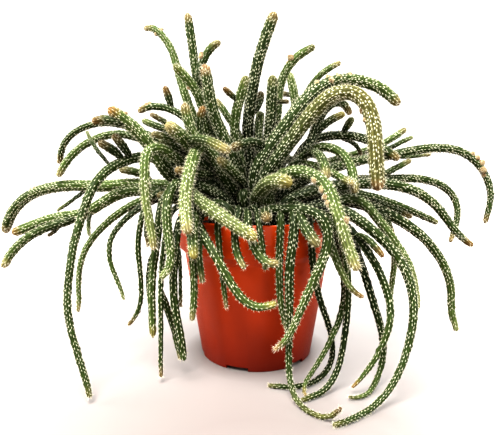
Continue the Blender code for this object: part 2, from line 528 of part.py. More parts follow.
def foot_slot_cutter(azimuth):
    """A slot through the foot ring, open below, for the water to leave by."""
    bm = bmesh.new()
    bmesh.ops.create_cube(bm, size=1.0)
    long = 6 * POT_WALL
    for vert in bm.verts:
        vert.co.x = vert.co.x * long + POT_FOOT_RADIUS - POT_WALL
        vert.co.y *= FOOT_SLOT_WIDTH
        vert.co.z = vert.co.z * 2 * FOOT_SLOT_HEIGHT
    bmesh.ops.rotate(bm, verts=bm.verts, cent=(0, 0, 0), matrix=Matrix.Rotation(azimuth, 3, "Z"))
    return object_from(bm, "slot_cutter")


def drain_cutter(azimuth):
    bm = bmesh.new()
    bmesh.ops.create_cone(
        bm, cap_ends=True, segments=12, radius1=DRAIN_HOLE_RADIUS, radius2=DRAIN_HOLE_RADIUS,
        depth=6 * POT_FLOOR)
    ring = DRAIN_HOLE_RING
    place = Vector((ring * math.cos(azimuth), ring * math.sin(azimuth), POT_FLOOR_LIFT))
    bmesh.ops.translate(bm, verts=bm.verts, vec=place)
    return object_from(bm, "drain_cutter")


def make_soil(roots):
    """The potting mix: it fills the pot, its top is uneven, and each stem stands in a plain hole in it."""
    collar_foot = POT_HEIGHT - POT_COLLAR_HEIGHT
    wall_top = collar_foot - POT_COLLAR_SLOPE
    base = POT_FLOOR_LIFT + POT_FLOOR + CLEARANCE
    pad = POT_PAD_RADIUS - 1.5 * CLEARANCE
    shrink = POT_WALL + 1.6 * CLEARANCE
    slope = (POT_WALL_TOP_RADIUS - POT_FOOT_RADIUS) / wall_top
    edge = POT_COLLAR_RADIUS - shrink
    profile = [
        (0.0, POT_FLOOR + CLEARANCE),
        (pad, POT_FLOOR + CLEARANCE),
        (pad + POT_PAD_SLOPE, base),
        (POT_FOOT_RADIUS + slope * base - shrink, base),
        (POT_WALL_TOP_RADIUS - shrink, wall_top + CLEARANCE),
        (edge, collar_foot + CLEARANCE),
    ]
    profile += [(edge * k / SOIL_RINGS, SOIL_TOP) for k in range(SOIL_RINGS, -1, -1)]
    bm = turned(profile, SOIL_SEGMENTS)
    for vert in bm.verts:
        if vert.co.z > SOIL_TOP - CLEARANCE:
            wave = math.sin(SOIL_WAVES[0] * vert.co.x + 1.3) * math.cos(SOIL_WAVES[1] * vert.co.y - 0.4)
            vert.co.z += SOIL_RELIEF * wave
    bmesh.ops.triangulate(bm, faces=bm.faces)
    soil = object_from(bm, "potting_soil", material("potting_soil", SOIL_COLOUR, SOIL_ROUGHNESS))
    cutters = []
    for place, radius in roots:
        hole = bmesh.new()
        wide = (radius + 1.2 * CLEARANCE) / math.cos(math.pi / ROOT_HOLE_SIDES)
        deep = 2 * ROOT_DEPTH + 4 * CLEARANCE
        bmesh.ops.create_cone(
            hole, cap_ends=True, segments=ROOT_HOLE_SIDES, radius1=wide, radius2=wide, depth=deep)
        bmesh.ops.translate(hole, verts=hole.verts, vec=(place[0], place[1], SOIL_TOP))
        cutters.append(object_from(hole, "root_cutter"))
    apply_boolean(soil, cutters, "DIFFERENCE")
    return soil


def seen_at(pixel, depth, clear):
    """The point on a pixel's sight line at this depth behind the pot's axis, or where it meets the floor."""
    right = (pixel[0] - VIEW_CENTRE_PX[0]) / VIEW_FOCAL_PX
    up = (VIEW_CENTRE_PX[1] - pixel[1]) / VIEW_FOCAL_PX
    c = math.cos(VIEW_PITCH)
    s = math.sin(VIEW_PITCH)
    rise = (up * c - s) / (c + up * s)
    ahead = depth - VIEW_EYE[1]
    if rise * ahead < clear - VIEW_EYE[2]:
        ahead = (clear - VIEW_EYE[2]) / rise
    away = ahead * c - rise * ahead * s
    return np.array((VIEW_EYE[0] + right * away, VIEW_EYE[1] + ahead, VIEW_EYE[2] + rise * ahead))


def before_pot(pixel, depth, clear):
    """The same, but brought forward where the pot's front would hide it."""
    place = seen_at(pixel, depth, clear)
    for _ in range(4):
        free = pot_radius(place[2] + clear) + clear + STEM_GAP
        if place[2] > POT_HEIGHT + clear or math.hypot(place[0], place[1]) > free:
            break
        front = seen_at(pixel, -math.sqrt(free ** 2 - place[0] ** 2) - STEM_GAP, clear)
        if front[2] > POT_HEIGHT:
            break
        place = front
    return place


def smooth_curve(points, step):
    """Points this far apart along a Catmull-Rom curve through the given ones."""
    points = np.asarray(points)
    ends = np.vstack([2 * points[0] - points[1], points, 2 * points[-1] - points[-2]])
    fine = []
    for a, b, c, d in zip(ends, ends[1:], ends[2:], ends[3:]):
        for t in np.arange(CURVE_PARTS) / CURVE_PARTS:
            fine.append(0.5 * (2 * b + (c - a) * t + (2 * a - 5 * b + 4 * c - d) * t ** 2
                               + (3 * b - a - 3 * c + d) * t ** 3))
    fine.append(points[-1])
    fine = np.array(fine)
    run = np.concatenate([[0.0], np.cumsum(np.sqrt(((fine[1:] - fine[:-1]) ** 2).sum(axis=1)))])
    count = max(3, int(round(run[-1] / step)) + 1)
    at = np.linspace(0.0, run[-1], count)
    return np.stack([np.interp(at, run, fine[:, k]) for k in range(3)], axis=1)


def spread(values, count):
    """The values at equal steps from first to last, read at this many places."""
    return np.interp(np.linspace(0.0, 1.0, count), np.linspace(0.0, 1.0, len(values)), values)


def back_places(name):
    """The places of a stem at the back, and of its side stem, from its azimuth, reach and heights."""
    azimuth, reach, crest, tip = BACK_STEMS[name]
    stems = []
    for turn, share, lift in ((0, 1.0, 0), (BACK_SIDE_TURN, BACK_SIDE_SHARE, BACK_SIDE_LIFT)):
        angle = math.radians(azimuth + turn)
        out = reach * share
        bends = (
            (0.26 * out, BACK_START + 0.2 * lift),
            (0.52 * out, crest + lift),
            (0.80 * out, crest - BACK_DIP + lift),
            (0.98 * out, 0.5 * (crest + tip) + lift),
            (out, tip + 1.5 * lift),
        )
        stems.append([MM * np.array((far * math.cos(angle), far * math.sin(angle), height))
                      for far, height in bends])
    return stems


class Route:
    """One stem's centre line and its radius out to the barbs, while the stems are moved clear."""

    def __init__(self, name, node, foot, places, widths):
        self.name = name
        self.node = node
        self.foot = foot
        self.places = list(places)
        self.widths = widths
        self.root = None

    def settle_start(self, routes):
        places = self.places
        if self.foot is None:
            first = places[0]
            low = np.array((self.root[0], self.root[1], SOIL_TOP - ROOT_DEPTH))
            collar = np.array((self.root[0], self.root[1], SOIL_TOP + ROOT_COLLAR))
            lean = 0.5 * (collar + first)
            lean[:2] = (1 - ROOT_LEAN) * self.root + ROOT_LEAN * first[:2]
            places = [low, collar, lean] + places
            self.points = smooth_curve(places, ROUTE_STEP)
        else:
            parent = routes[self.foot].points
            self.joint = int(((parent - places[0]) ** 2).sum(axis=1).argmin())
            self.points = smooth_curve([parent[self.joint]] + places[1:], ROUTE_STEP)
        held = ROOT_POINTS if self.foot is None else 1
        for _ in range(START_ROUNDS):
            middle = 0.5 * (self.points[:-2] + self.points[2:]) - self.points[1:-1]
            self.points[held:-1] += START_EVEN * middle[held - 1:]
        self.radius = BARB_SHARE * MM * spread(self.widths, len(self.points))
        self.held = held
        self.run = np.concatenate(
            [[0.0], np.cumsum(np.sqrt(((self.points[1:] - self.points[:-1]) ** 2).sum(axis=1)))])


def draw_routes():
    """Every stem's centre line, as the photograph or the rule for the back places it."""
    routes = {}
    for name, stem in STEMS.items():
        depths = spread(stem.depths, len(stem.pixels))
        widths = spread(stem.widths, len(stem.pixels))
        places = [before_pot(pixel, depth * MM, 0.5 * width * MM + CLEARANCE)
                  for pixel, depth, width in zip(stem.pixels, depths, widths)]
        node = name if stem.foot is None else routes[stem.foot].node
        routes[name] = Route(name, node, stem.foot, places, stem.widths)
    for name in BACK_STEMS:
        main, side = back_places(name)
        routes[name] = Route(name, name, None, main, BACK_WIDTHS)
        routes[name + "_side"] = Route(name + "_side", name, name, side, BACK_WIDTHS)
    place_roots(routes)
    for route in routes.values():
        route.settle_start(routes)
    return routes


def place_roots(routes):
    """Each stem stands in the soil below the side that it leaves by, clear of the other stems there."""
    rooted = [route for route in routes.values() if route.foot is None]
    wide = np.array([0.5 * MM * route.widths[0] for route in rooted])
    spots = np.array([ROOT_INWARDS * route.places[0][:2] for route in rooted])
    for _ in range(ROOT_ROUNDS):
        apart = spots[:, None] - spots[None, :]
        far = np.sqrt((apart ** 2).sum(axis=2)) + np.eye(len(spots))
        short = wide[:, None] + wide[None, :] + ROOT_SPACING - far
        short[far > 1.0 - 1e-9] = 0.0
        push = np.where(short > 0, short, 0.0)[:, :, None] * apart / far[:, :, None]
        spots = spots + ROOT_PUSH * push.sum(axis=1)
        out = np.sqrt((spots ** 2).sum(axis=1))
        spots = spots * np.minimum(1.0, (ROOT_REACH - wide) / out)[:, None]
    for route, spot in zip(rooted, spots):
        route.root = spot


def near_joint(a, b, run_a, run_b):
    """Whether these places are by the joint where one stem grows from the other, or both from a third."""
    if b.foot == a.name:
        return (run_b < JOINT_REACH) & (np.abs(run_a - a.run[b.joint]) < JOINT_REACH_ALONG)
    if a.foot == b.name:
        return (run_a < JOINT_REACH) & (np.abs(run_b - b.run[a.joint]) < JOINT_REACH_ALONG)
    if a.foot is not None and a.foot == b.foot:
        return (run_a < JOINT_REACH_ALONG) & (run_b < JOINT_REACH_ALONG)
    return np.zeros(np.broadcast(run_a, run_b).shape, bool)


def close_pairs(listed, starts, reach):
    """Places of different stems that lie closer than their radii and this reach."""
    first = []
    second = []
    for i, a in enumerate(listed):
        for k in range(i + 1, len(listed)):
            b = listed[k]
            margin = a.radius.max() + b.radius.max() + reach
            if (a.points.min(axis=0) - margin > b.points.max(axis=0)).any():
                continue
            if (b.points.min(axis=0) - margin > a.points.max(axis=0)).any():
                continue
            apart = a.points[:, None] - b.points[None, :]
            near = (apart ** 2).sum(axis=2) < (a.radius[:, None] + b.radius[None, :] + reach) ** 2
            near &= ~near_joint(a, b, a.run[:, None], b.run[None, :])
            rows, columns = np.nonzero(near)
            first.append(rows + starts[i])
            second.append(columns + starts[k])
    return np.concatenate(first), np.concatenate(second)


def sides_of_pairs(first, second, owner, along):
    """1 for each close pair whose first stem passes behind the second one there, and -1 where before it."""
    new = np.ones(len(first), bool)
    new[1:] = (owner[first[1:]] != owner[first[:-1]]) | (owner[second[1:]] != owner[second[:-1]])
    new[1:] |= first[1:] - first[:-1] > 3
    group = np.cumsum(new) - 1
    total = np.bincount(group, weights=along)
    return np.where(total[group] > 0, 1.0, -1.0)


def pot_radius(height):
    """The outer radius of the pot at these heights."""
    collar_foot = POT_HEIGHT - POT_COLLAR_HEIGHT
    heights = (0.0, collar_foot - POT_COLLAR_SLOPE, collar_foot)
    return np.interp(height, heights, (POT_FOOT_RADIUS, POT_WALL_TOP_RADIUS, POT_COLLAR_RADIUS))


def wall_sides(route):
    """0 for places inside the pot's wall, 1 for the few where the stem first crosses it, and 2 after them."""
    out = np.sqrt((route.points[:, :2] ** 2).sum(axis=1)) - (POT_COLLAR_RADIUS - 0.5 * POT_WALL)
    sides = np.full(len(out), 2 if out[0] >= 0 else 0)
    if out[0] < 0 and (out >= 0).any():
        at = int(np.argmax(out >= 0))
        sides[max(at - 1, 0):] = 1
        sides[at + 2:] = 2
    return sides


def pot_and_floor_push(points, radius, sides):
    """How far each place has to move to stay off the floor and the soil, and out of the pot's wall."""
    push = np.zeros_like(points)
    out = np.sqrt((points[:, :2] ** 2).sum(axis=1)) + 1e-9
    away = points[:, :2] / out[:, None]
    clear = radius + STEM_GAP
    push[:, 2] += np.maximum(clear - points[:, 2], 0.0)
    below = points[:, 2] < POT_HEIGHT + clear
    inner = POT_COLLAR_RADIUS - POT_WALL - clear
    outer = pot_radius(points[:, 2] + clear) + clear + RIM_CLEARANCE
    radial = np.where((sides == 0) & below, np.minimum(inner - out, 0.0), 0.0)
    radial += np.where((sides == 2) & below, np.clip(outer - out, 0.0, MOST_PUSH), 0.0)
    push[:, :2] += radial[:, None] * away
    lowest = np.where(sides == 0, SOIL_TOP + SOIL_RELIEF, POT_HEIGHT + RIM_CLEARANCE) + clear
    push[:, 2] += np.where(sides < 2, np.maximum(lowest - points[:, 2], 0.0), 0.0)
    return push


def move_clear(routes):
    """Moves the stems apart where they touch, mostly along the line of sight, and keeps them smooth."""
    listed = list(routes.values())
    starts = np.concatenate([[0], np.cumsum([len(route.points) for route in listed])])
    base = np.concatenate([route.points for route in listed])
    radius = np.concatenate([route.radius for route in listed])
    wall_side = np.concatenate([wall_sides(route) for route in listed])
    owner = np.repeat(np.arange(len(listed)), starts[1:] - starts[:-1])
    fixed = np.zeros(len(base), bool)
    inner = np.ones(len(base), bool)
    for route, start, end in zip(listed, starts, starts[1:]):
        fixed[start:start + route.held] = True
        inner[start] = False
        inner[end - 1] = False
    sight = base - VIEW_EYE
    sight /= np.sqrt((sight ** 2).sum(axis=1))[:, None]
    shift = np.zeros_like(base)
    for turn in range(SETTLE_ROUNDS):
        points = base + shift
        ended = turn / SETTLE_ROUNDS
        direct = DIRECT_PUSH_FIRST + (DIRECT_PUSH_LAST - DIRECT_PUSH_FIRST) * ended
        even = EVEN_FIRST + (EVEN_LAST - EVEN_FIRST) * ended
        if turn % NEAR_EVERY == 0:
            for route, start, end in zip(listed, starts, starts[1:]):
                route.points = points[start:end]
            first, second = close_pairs(listed, starts, NEAR_REACH)
            along = ((points[first] - points[second]) * sight[first]).sum(axis=1)
            behind = sides_of_pairs(first, second, owner, along)
        apart = points[first] - points[second]
        far_square = (apart ** 2).sum(axis=1) + 1e-12
        far = np.sqrt(far_square)
        wanted = radius[first] + radius[second] + STEM_GAP
        short = np.maximum(wanted - far, 0.0)
        along = (apart * sight[first]).sum(axis=1)
        aside_square = far_square - along ** 2
        needed = np.sqrt(np.maximum(wanted ** 2 - aside_square, 0.0)) - behind * along
        slide = np.where(aside_square < wanted ** 2, np.clip(needed, 0.0, MOST_PUSH), 0.0)
        push = SIGHT_PUSH * (behind * slide)[:, None] * sight[first]
        push += direct * (short / far)[:, None] * apart
        total = np.zeros_like(points)
        count = np.ones(len(points))
        touching = (slide > 0).astype(float)
        np.add.at(total, first, push)
        np.add.at(total, second, -push)
        np.add.at(count, first, touching)
        np.add.at(count, second, touching)
        shift += total / np.sqrt(count)[:, None]
        shift += pot_and_floor_push(base + shift, radius, wall_side) * (~fixed)[:, None]
        lap = np.zeros_like(shift)
        lap[1:-1] = 0.5 * (shift[:-2] + shift[2:]) - shift[1:-1]
        shift += even * lap * inner[:, None]
        seen_shift = shift - (shift * sight).sum(axis=1)[:, None] * sight
        shift -= HOME_PULL * max(0.0, 1.0 - 1.5 * ended) * seen_shift
        shift[fixed] = 0.0
        for index, route in enumerate(listed):
            if route.foot is not None:
                shift[starts[index]] = shift[starts[listed.index(routes[route.foot])] + route.joint]
    points = base + shift
    points += pot_and_floor_push(points, radius, wall_side) * (~fixed)[:, None]
    for route, start, end in zip(listed, starts, starts[1:]):
        route.points = points[start:end]


def ring_places(route):
    """Where along the stem its rings stand: closer together where it bends or goes over the pot's rim."""
    ways = route.points[1:] - route.points[:-1]
    ways /= np.sqrt((ways ** 2).sum(axis=1))[:, None]
    turn = np.arccos(np.clip((ways[1:] * ways[:-1]).sum(axis=1), -1.0, 1.0))
    length = route.run[-1]
    from_rim = np.sqrt((route.points[:, :2] ** 2).sum(axis=1)) - POT_COLLAR_RADIUS
    by_rim = (np.abs(from_rim) < RIM_REACH) & (np.abs(route.points[:, 2] - POT_HEIGHT) < 1.5 * RIM_REACH)
    if route.foot is None:
        places = [0.0, ROOT_DEPTH + ROOT_RING_RISE]
        at = places[-1] + FIRST_RING * RING_STEP
    else:
        places = [0.0]
        at = FIRST_RING * RING_STEP
    while at < length - LAST_RING * RING_STEP:
        places.append(at)
        bend = np.interp(at + 0.5 * RING_STEP, route.run[1:-1], turn) * RING_STEP / ROUTE_STEP
        close = bend > BEND_PER_RING or np.interp(at + RING_STEP_BENT, route.run, by_rim) > 0.0
        at += RING_STEP_BENT if close else RING_STEP
    return places


def frames_along(route, places):
    """The centre, the way forward and two square directions at each of these places on the stem."""
    centres = np.stack([np.interp(places, route.run, route.points[:, k]) for k in range(3)], axis=1)
    slopes = np.gradient(route.points, axis=0)
    ways = np.stack([np.interp(places, route.run, slopes[:, k]) for k in range(3)], axis=1)
    if route.foot is None:
        ways[:2] = (0.0, 0.0, 1.0)
        centres[1, :2] = centres[0, :2]
    ways /= np.sqrt((ways ** 2).sum(axis=1))[:, None]
    side = np.array((1.0, 0.0, 0.0)) if abs(ways[0][0]) < 0.9 else np.array((0.0, 1.0, 0.0))
    frames = []
    for centre, way in zip(centres, ways):
        side = side - way * (side * way).sum()
        side = side / math.sqrt((side * side).sum())
        frames.append((centre, way, side, np.cross(way, side)))
    return frames


def is_barb(sides, ring, corner):
    """Every second corner stands out, and the next ring's barbs stand between them."""
    if sides == 5:
        return (corner + 2 * ring) % 5 in (0, 2)
    return (corner + ring) % 2 == 0


def stem_body(route, rng):
    """The stem as one closed body: rings of corners, each second one a barb leaning forward, and a tip."""
    sides = next(count for limit, count in SIDES_BY_WIDTH if 2 * route.radius.max() < limit)
    places = ring_places(route)
    widths = np.interp(places, route.run, route.radius) / BARB_SHARE
    plain = 2 if route.foot is None else 1
    start = BODY_SHARE if route.foot is None else JOINT_SHARE
    length = route.run[-1]
    bm = bmesh.new()
    rings = []
    for index, (centre, way, across, up) in enumerate(frames_along(route, places)):
        left = length - places[index]
        blunt = BLUNT_SHARE if left < BLUNT_REACH * RING_STEP else 1.0
        ring = []
        for k in range(sides):
            angle = 2 * math.pi * k / sides
            share = start
            lean = 0.0
            if index >= plain:
                angle += BARB_SCATTER * (rng.random() - 0.5)
                barb = is_barb(sides, index, k)
                share = blunt * (BARB_SHARE if barb else VALLEY_SHARE)
                lean = min(BARB_LEAN * (0.7 + 0.6 * rng.random()), 0.5 * left) if barb else 0.0
            out = share * widths[index] * (math.cos(angle) * across + math.sin(angle) * up)
            corner = centre + out + lean * way
            corner[2] = max(corner[2], FLOOR_CLEARANCE * (0.7 + 0.6 * rng.random()))
            ring.append(bm.verts.new(corner))
        rings.append(ring)
    tip = bm.verts.new(route.points[-1])
    bm.faces.new(list(reversed(rings[0])))
    for low, high in zip(rings, rings[1:]):
        for k in range(sides):
            n = (k + 1) % sides
            bm.faces.new((low[k], low[n], high[n], high[k]))
    for k in range(sides):
        bm.faces.new((rings[-1][k], rings[-1][(k + 1) % sides], tip))
    bmesh.ops.triangulate(bm, faces=bm.faces)
    return bm


def bud_body(bud, route):
    """A round bud, its root sunk in the stem at the place nearest to its pixel's sight line."""
    eye_to_bud = seen_at(bud.pixel, 0.0, 0.0) - VIEW_EYE
    sight = eye_to_bud / math.sqrt((eye_to_bud ** 2).sum())
    along = ((route.points - VIEW_EYE) * sight).sum(axis=1)
    nearest = VIEW_EYE + along[:, None] * sight
    apart = nearest - route.points
    far = np.sqrt((apart ** 2).sum(axis=1))
    at = int(far.argmin())
    radius = bud.radius * MM
    stand = BUD_STAND * route.radius[at] + 0.35 * radius
    aside = min(far[at], stand)
    forward = math.sqrt(max(stand ** 2 - aside ** 2, 0.0))
    centre = route.points[at] + apart[at] * (aside / max(far[at], 1e-9)) - sight * forward
    bm = bmesh.new()
    bmesh.ops.create_uvsphere(bm, u_segments=6, v_segments=4, radius=radius)
    bmesh.ops.translate(bm, verts=bm.verts, vec=Vector(centre))
    return bm


def make_stems(routes):
    """One object for each stem that stands in the soil, with its side stems and buds joined to it."""
    rng = np.random.default_rng(SEED)
    for index, (name, route) in enumerate(routes.items()):
        if route.foot is not None:
            continue
        look = material(name + "_skin", STEM_COLOURS[index % len(STEM_COLOURS)], STEM_ROUGHNESS)
        stem = object_from(stem_body(route, rng), "stem_" + name, look)
        sides = [other for other in routes.values() if other.node == name and other is not route]
        grown = [object_from(stem_body(side, rng), "side_stem", look) for side in sides]
        for bud in BUDS:
            if routes[bud.stem].node == name:
                grown.append(object_from(bud_body(bud, routes[bud.stem]), "bud", look))
        if grown:
            apply_boolean(stem, grown, "UNION")


def main():
    clear_scene()
    routes = draw_routes()
    move_clear(routes)
    roots = [(route.root, BODY_SHARE / BARB_SHARE * route.radius[0])
             for route in routes.values() if route.foot is None]
    make_pot()
    make_soil(roots)
    make_stems(routes)


main()
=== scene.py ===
import json
import math
from collections import namedtuple

import bmesh
import bpy
import numpy as np
from mathutils import Matrix, Vector, noise

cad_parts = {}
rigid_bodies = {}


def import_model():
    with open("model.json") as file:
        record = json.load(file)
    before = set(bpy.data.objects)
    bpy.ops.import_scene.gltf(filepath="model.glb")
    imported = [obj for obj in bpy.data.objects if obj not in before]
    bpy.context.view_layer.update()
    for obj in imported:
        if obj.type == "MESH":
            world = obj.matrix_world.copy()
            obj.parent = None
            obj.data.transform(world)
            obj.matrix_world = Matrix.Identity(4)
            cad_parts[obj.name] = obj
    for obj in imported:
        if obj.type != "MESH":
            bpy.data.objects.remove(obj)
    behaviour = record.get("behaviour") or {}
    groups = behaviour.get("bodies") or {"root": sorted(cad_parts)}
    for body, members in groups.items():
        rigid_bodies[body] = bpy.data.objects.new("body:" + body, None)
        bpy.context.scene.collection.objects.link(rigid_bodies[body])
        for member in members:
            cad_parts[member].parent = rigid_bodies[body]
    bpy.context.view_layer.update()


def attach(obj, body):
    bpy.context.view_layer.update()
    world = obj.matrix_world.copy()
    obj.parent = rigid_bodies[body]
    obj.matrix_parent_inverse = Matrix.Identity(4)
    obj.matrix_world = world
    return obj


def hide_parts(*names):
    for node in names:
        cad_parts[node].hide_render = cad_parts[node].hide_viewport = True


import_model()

millimetre = 0.001
clearance = 0.0003
tiny = 1e-9
Stem = namedtuple("Stem", "foot widths depths pixels")
Bud = namedtuple("Bud", "stem pixel radius")


def feed(tree, socket, value):
    # Links a node's output to this input, or writes a plain value in it
    if isinstance(value, bpy.types.NodeSocket):
        tree.links.new(value, socket)
    else:
        socket.default_value = value


def addNode(tree, kind, settings=None, **values):
    # A node with its settings, and values for the inputs that are named
    node = tree.nodes.new(kind)
    for key, value in (settings or {}).items():
        setattr(node, key, value)
    for key, value in values.items():
        feed(tree, node.inputs[key.replace("_", " ")], value)
    return node


def mathNode(tree, operation, *values):
    node = addNode(tree, "ShaderNodeMath", {"operation": operation})
    for socket, value in zip(node.inputs, values):
        feed(tree, socket, value)
    return node.outputs[0]


def vectorMath(tree, operation, *values, scale=None):
    node = addNode(tree, "ShaderNodeVectorMath", {"operation": operation})
    for socket, value in zip(node.inputs, values):
        feed(tree, socket, value)
    if scale is not None:
        feed(tree, node.inputs["Scale"], scale)
    return node.outputs["Value" if operation == "LENGTH" else "Vector"]


def attributeOf(tree, name, kind):
    node = addNode(tree, "GeometryNodeInputNamedAttribute", {"data_type": kind}, Name=name)
    return node.outputs["Attribute"]


def storedOn(tree, geometry, kind, name, value):
    # The geometry with this value kept on its points under a name
    return addNode(tree, "GeometryNodeStoreNamedAttribute", {"data_type": kind, "domain": "POINT"},
                   Geometry=geometry, Name=name, Value=value).outputs[0]


def randomNumber(tree, seed, low, high):
    node = addNode(tree, "FunctionNodeRandomValue", {"data_type": "FLOAT"}, Seed=seed)
    node.inputs[2].default_value = low
    node.inputs[3].default_value = high
    return node.outputs[1]


def randomVector(tree, seed, low, high):
    node = addNode(tree, "FunctionNodeRandomValue", {"data_type": "FLOAT_VECTOR"}, Seed=seed)
    node.inputs[0].default_value = low
    node.inputs[1].default_value = high
    return node.outputs[0]


def mixColour(tree, share, first, second):
    node = addNode(tree, "ShaderNodeMix", {"data_type": "RGBA"})
    for socket, value in ((node.inputs[0], share), (node.inputs[6], first), (node.inputs[7], second)):
        feed(tree, socket, (*value, 1.0) if isinstance(value, tuple) else value)
    return node.outputs[2]


def meshValue(tree, name, output="Fac"):
    # In a material, a value that the mesh carries on its points
    return addNode(tree, "ShaderNodeAttribute", {"attribute_name": name}).outputs[output]


def ramp(tree, value, low, high, first=0.0, second=1.0):
    node = tree.nodes.new("ShaderNodeMapRange")
    tree.links.new(value, node.inputs["Value"])
    for name, number in (("From Min", low), ("From Max", high), ("To Min", first), ("To Max", second)):
        node.inputs[name].default_value = number
    return node.outputs[0]


def newMaterial(name):
    made = bpy.data.materials.new(name)
    made.use_nodes = True
    return made, made.node_tree, made.node_tree.nodes["Principled BSDF"]


def objectOf(name, mesh, *materials):
    obj = bpy.data.objects.new(name, mesh)
    bpy.context.scene.collection.objects.link(obj)
    for look in materials:
        mesh.materials.append(look)
    return obj


def meshFrom(bm, name, smooth=True):
    bmesh.ops.recalc_face_normals(bm, faces=bm.faces)
    mesh = bpy.data.meshes.new(name)
    bm.to_mesh(mesh)
    bm.free()
    mesh.polygons.foreach_set("use_smooth", [smooth] * len(mesh.polygons))
    return mesh


def vertRing(bm, radius, height, segments):
    turns = [2 * math.pi * k / segments for k in range(segments)]
    return [bm.verts.new((radius * math.cos(a), radius * math.sin(a), height)) for a in turns]


def turned(profile, segments):
    # A closed body turned round Z from (radius, height) pairs that start and end on the axis
    bm = bmesh.new()
    rings = []
    for radius, height in profile:
        if radius < tiny:
            rings.append([bm.verts.new((0.0, 0.0, height))])
        else:
            rings.append(vertRing(bm, radius, height, segments))
    for low, high in zip(rings, rings[1:]):
        for k in range(segments):
            corners = [low[k % len(low)], low[(k + 1) % len(low)], high[(k + 1) % len(high)],
                       high[k % len(high)]]
            bm.faces.new(list(dict.fromkeys(corners)))
    return bm


def bakeModifiers(obj):
    # The evaluated mesh takes the place of the object's own, and the modifiers go
    graph = bpy.context.evaluated_depsgraph_get()
    mesh = bpy.data.meshes.new_from_object(obj.evaluated_get(graph), depsgraph=graph)
    obj.modifiers.clear()
    before = obj.data
    obj.data = mesh
    bpy.data.meshes.remove(before)
    for slot in reversed(range(len(mesh.materials))):
        if mesh.materials[slot] is None:
            mesh.materials.pop(index=slot)


# Detail and roughness of each noise, and the levels of it that become 0 and 1
mottleLook = {
    "Patches": (3.0, 0.55, 0.34, 0.66),
    "Grain": (2.0, 0.6, 0.3, 0.7),
}


def mottleGroup():
    # Soft uneven patches and a fine grain, as a mask and a height
    group = bpy.data.node_groups.new("mottle", "ShaderNodeTree")
    for name, way in (("Patch Scale", "INPUT"), ("Grain Scale", "INPUT"),
                      ("Patches", "OUTPUT"), ("Grain", "OUTPUT")):
        group.interface.new_socket(name, in_out=way, socket_type="NodeSocketFloat")
    source = group.nodes.new("NodeGroupInput").outputs
    sink = group.nodes.new("NodeGroupOutput").inputs
    place = group.nodes.new("ShaderNodeTexCoord").outputs["Object"]
    for name, scale in (("Patches", "Patch Scale"), ("Grain", "Grain Scale")):
        detail, roughness, low, high = mottleLook[name]
        speckle = addNode(group, "ShaderNodeTexNoise", Vector=place, Scale=source[scale],
                          Detail=detail, Roughness=roughness)
        group.links.new(ramp(group, speckle.outputs[0], low, high), sink[name])
    return group


def placeMottle(tree, patchScale, grainScale):
    node = addNode(tree, "ShaderNodeGroup", {"node_tree": mottle},
                   Patch_Scale=patchScale, Grain_Scale=grainScale)
    return node.outputs["Patches"], node.outputs["Grain"]


def addBump(tree, shader, height, strength, distance):
    bump = addNode(tree, "ShaderNodeBump", Height=height, Strength=strength, Distance=distance)
    tree.links.new(bump.outputs[0], shader.inputs["Normal"])


def grainFinish(tree, shader, grain, values):
    # A roughness that follows the grain, the gloss, and a bump from the grain where the look has one
    tree.links.new(ramp(tree, grain, 0.0, 1.0, *values["roughness"]), shader.inputs["Roughness"])
    shader.inputs["Specular IOR Level"].default_value = values["gloss"]
    if "bump" in values:
        addBump(tree, shader, grain, *values["bump"])


mottle = mottleGroup()
print("shader groups made")


studio = {
    "lens": 33.39,
    "sensor": 36.0,
    "nearest": 0.01,
    "contrast": "High Contrast",
    "floorRadius": 1.5,
    "flatRings": (0.4, 0.7, 1.0),
    "bowlBend": 0.6,
    "bowlParts": 8,
    "bowlHeight": 1.4,
    "bowlSides": 64,
    "floorColour": (0.230, 0.200, 0.185),
    "floorPatch": 0.97,
    "floorScales": (3.0, 60.0),
    "floorRoughness": 0.42,
    # The floor's glow is painted light that only camera rays see, growing away from the pot's front; next to
    # the pot's foot it is kept off, a painted shadow
    "glowColour": (0.98, 0.975, 0.95, 1.0),
    "glowCentre": (0.0, 0.16, 0.0),
    "glowReach": (0.06, 0.50),
    "paintedShadowRing": (0.040, 0.058),
    "floorGlow": 0.06,
    "backdropGlow": 0.95,
    "skyColour": (1.0, 1.0, 1.0, 1.0),
    "skyLight": 0.15,
    "lampAim": (0.0, 0.0, 0.12),
}

# Where each lamp is, how wide it is and its power
lamps = {
    "key": ((-0.25, -0.55, 1.35), 0.7, 44.0),
    "fill": ((0.5, -1.2, 0.4), 0.8, 6.0),
    "back": ((0.3, 0.8, 1.2), 0.8, 16.0),
    "left": ((-1.1, -0.1, 0.45), 0.7, 16.0),
    "right": ((1.1, -0.1, 0.45), 0.7, 9.0),
}

photoView = {
    "centrePx": (250.0, 217.5),
    "focalPx": 463.8,
    "pitch": math.radians(8.735),
    "eye": np.array((-0.0050, -0.3530, 0.1593)),
}

settle = {
    "stemGap": 0.0011,
    "curveParts": 10,
    "routeStep": 0.0050,
    "startRounds": 5,
    "startEven": 0.4,
    "barbShare": 0.56,
    "potTries": 4,
    "jointReach": 0.0200,
    "jointReachAlong": 0.0280,
    "pairBreak": 3,
    "leastSquare": 1e-12,
    "mostPush": 0.004,
    "settleRounds": 480,
    "directPushFirst": 0.12,
    "directPushLast": 0.42,
    "evenFirst": 0.45,
    "evenLast": 0.16,
    "nearEvery": 12,
    "nearReach": 0.0060,
    "sightPush": 0.26,
    "homePull": 0.04,
    "homeFade": 1.5,
}

pot = {
    "height": 0.109,
    "collarHeight": 0.0230,
    "collarSlope": 0.0050,
    "footRadius": 0.0430,
    "wallTopRadius": 0.0552,
    "collarRadius": 0.0600,
    "wall": 0.0016,
    "rimClearance": 0.0018,
}

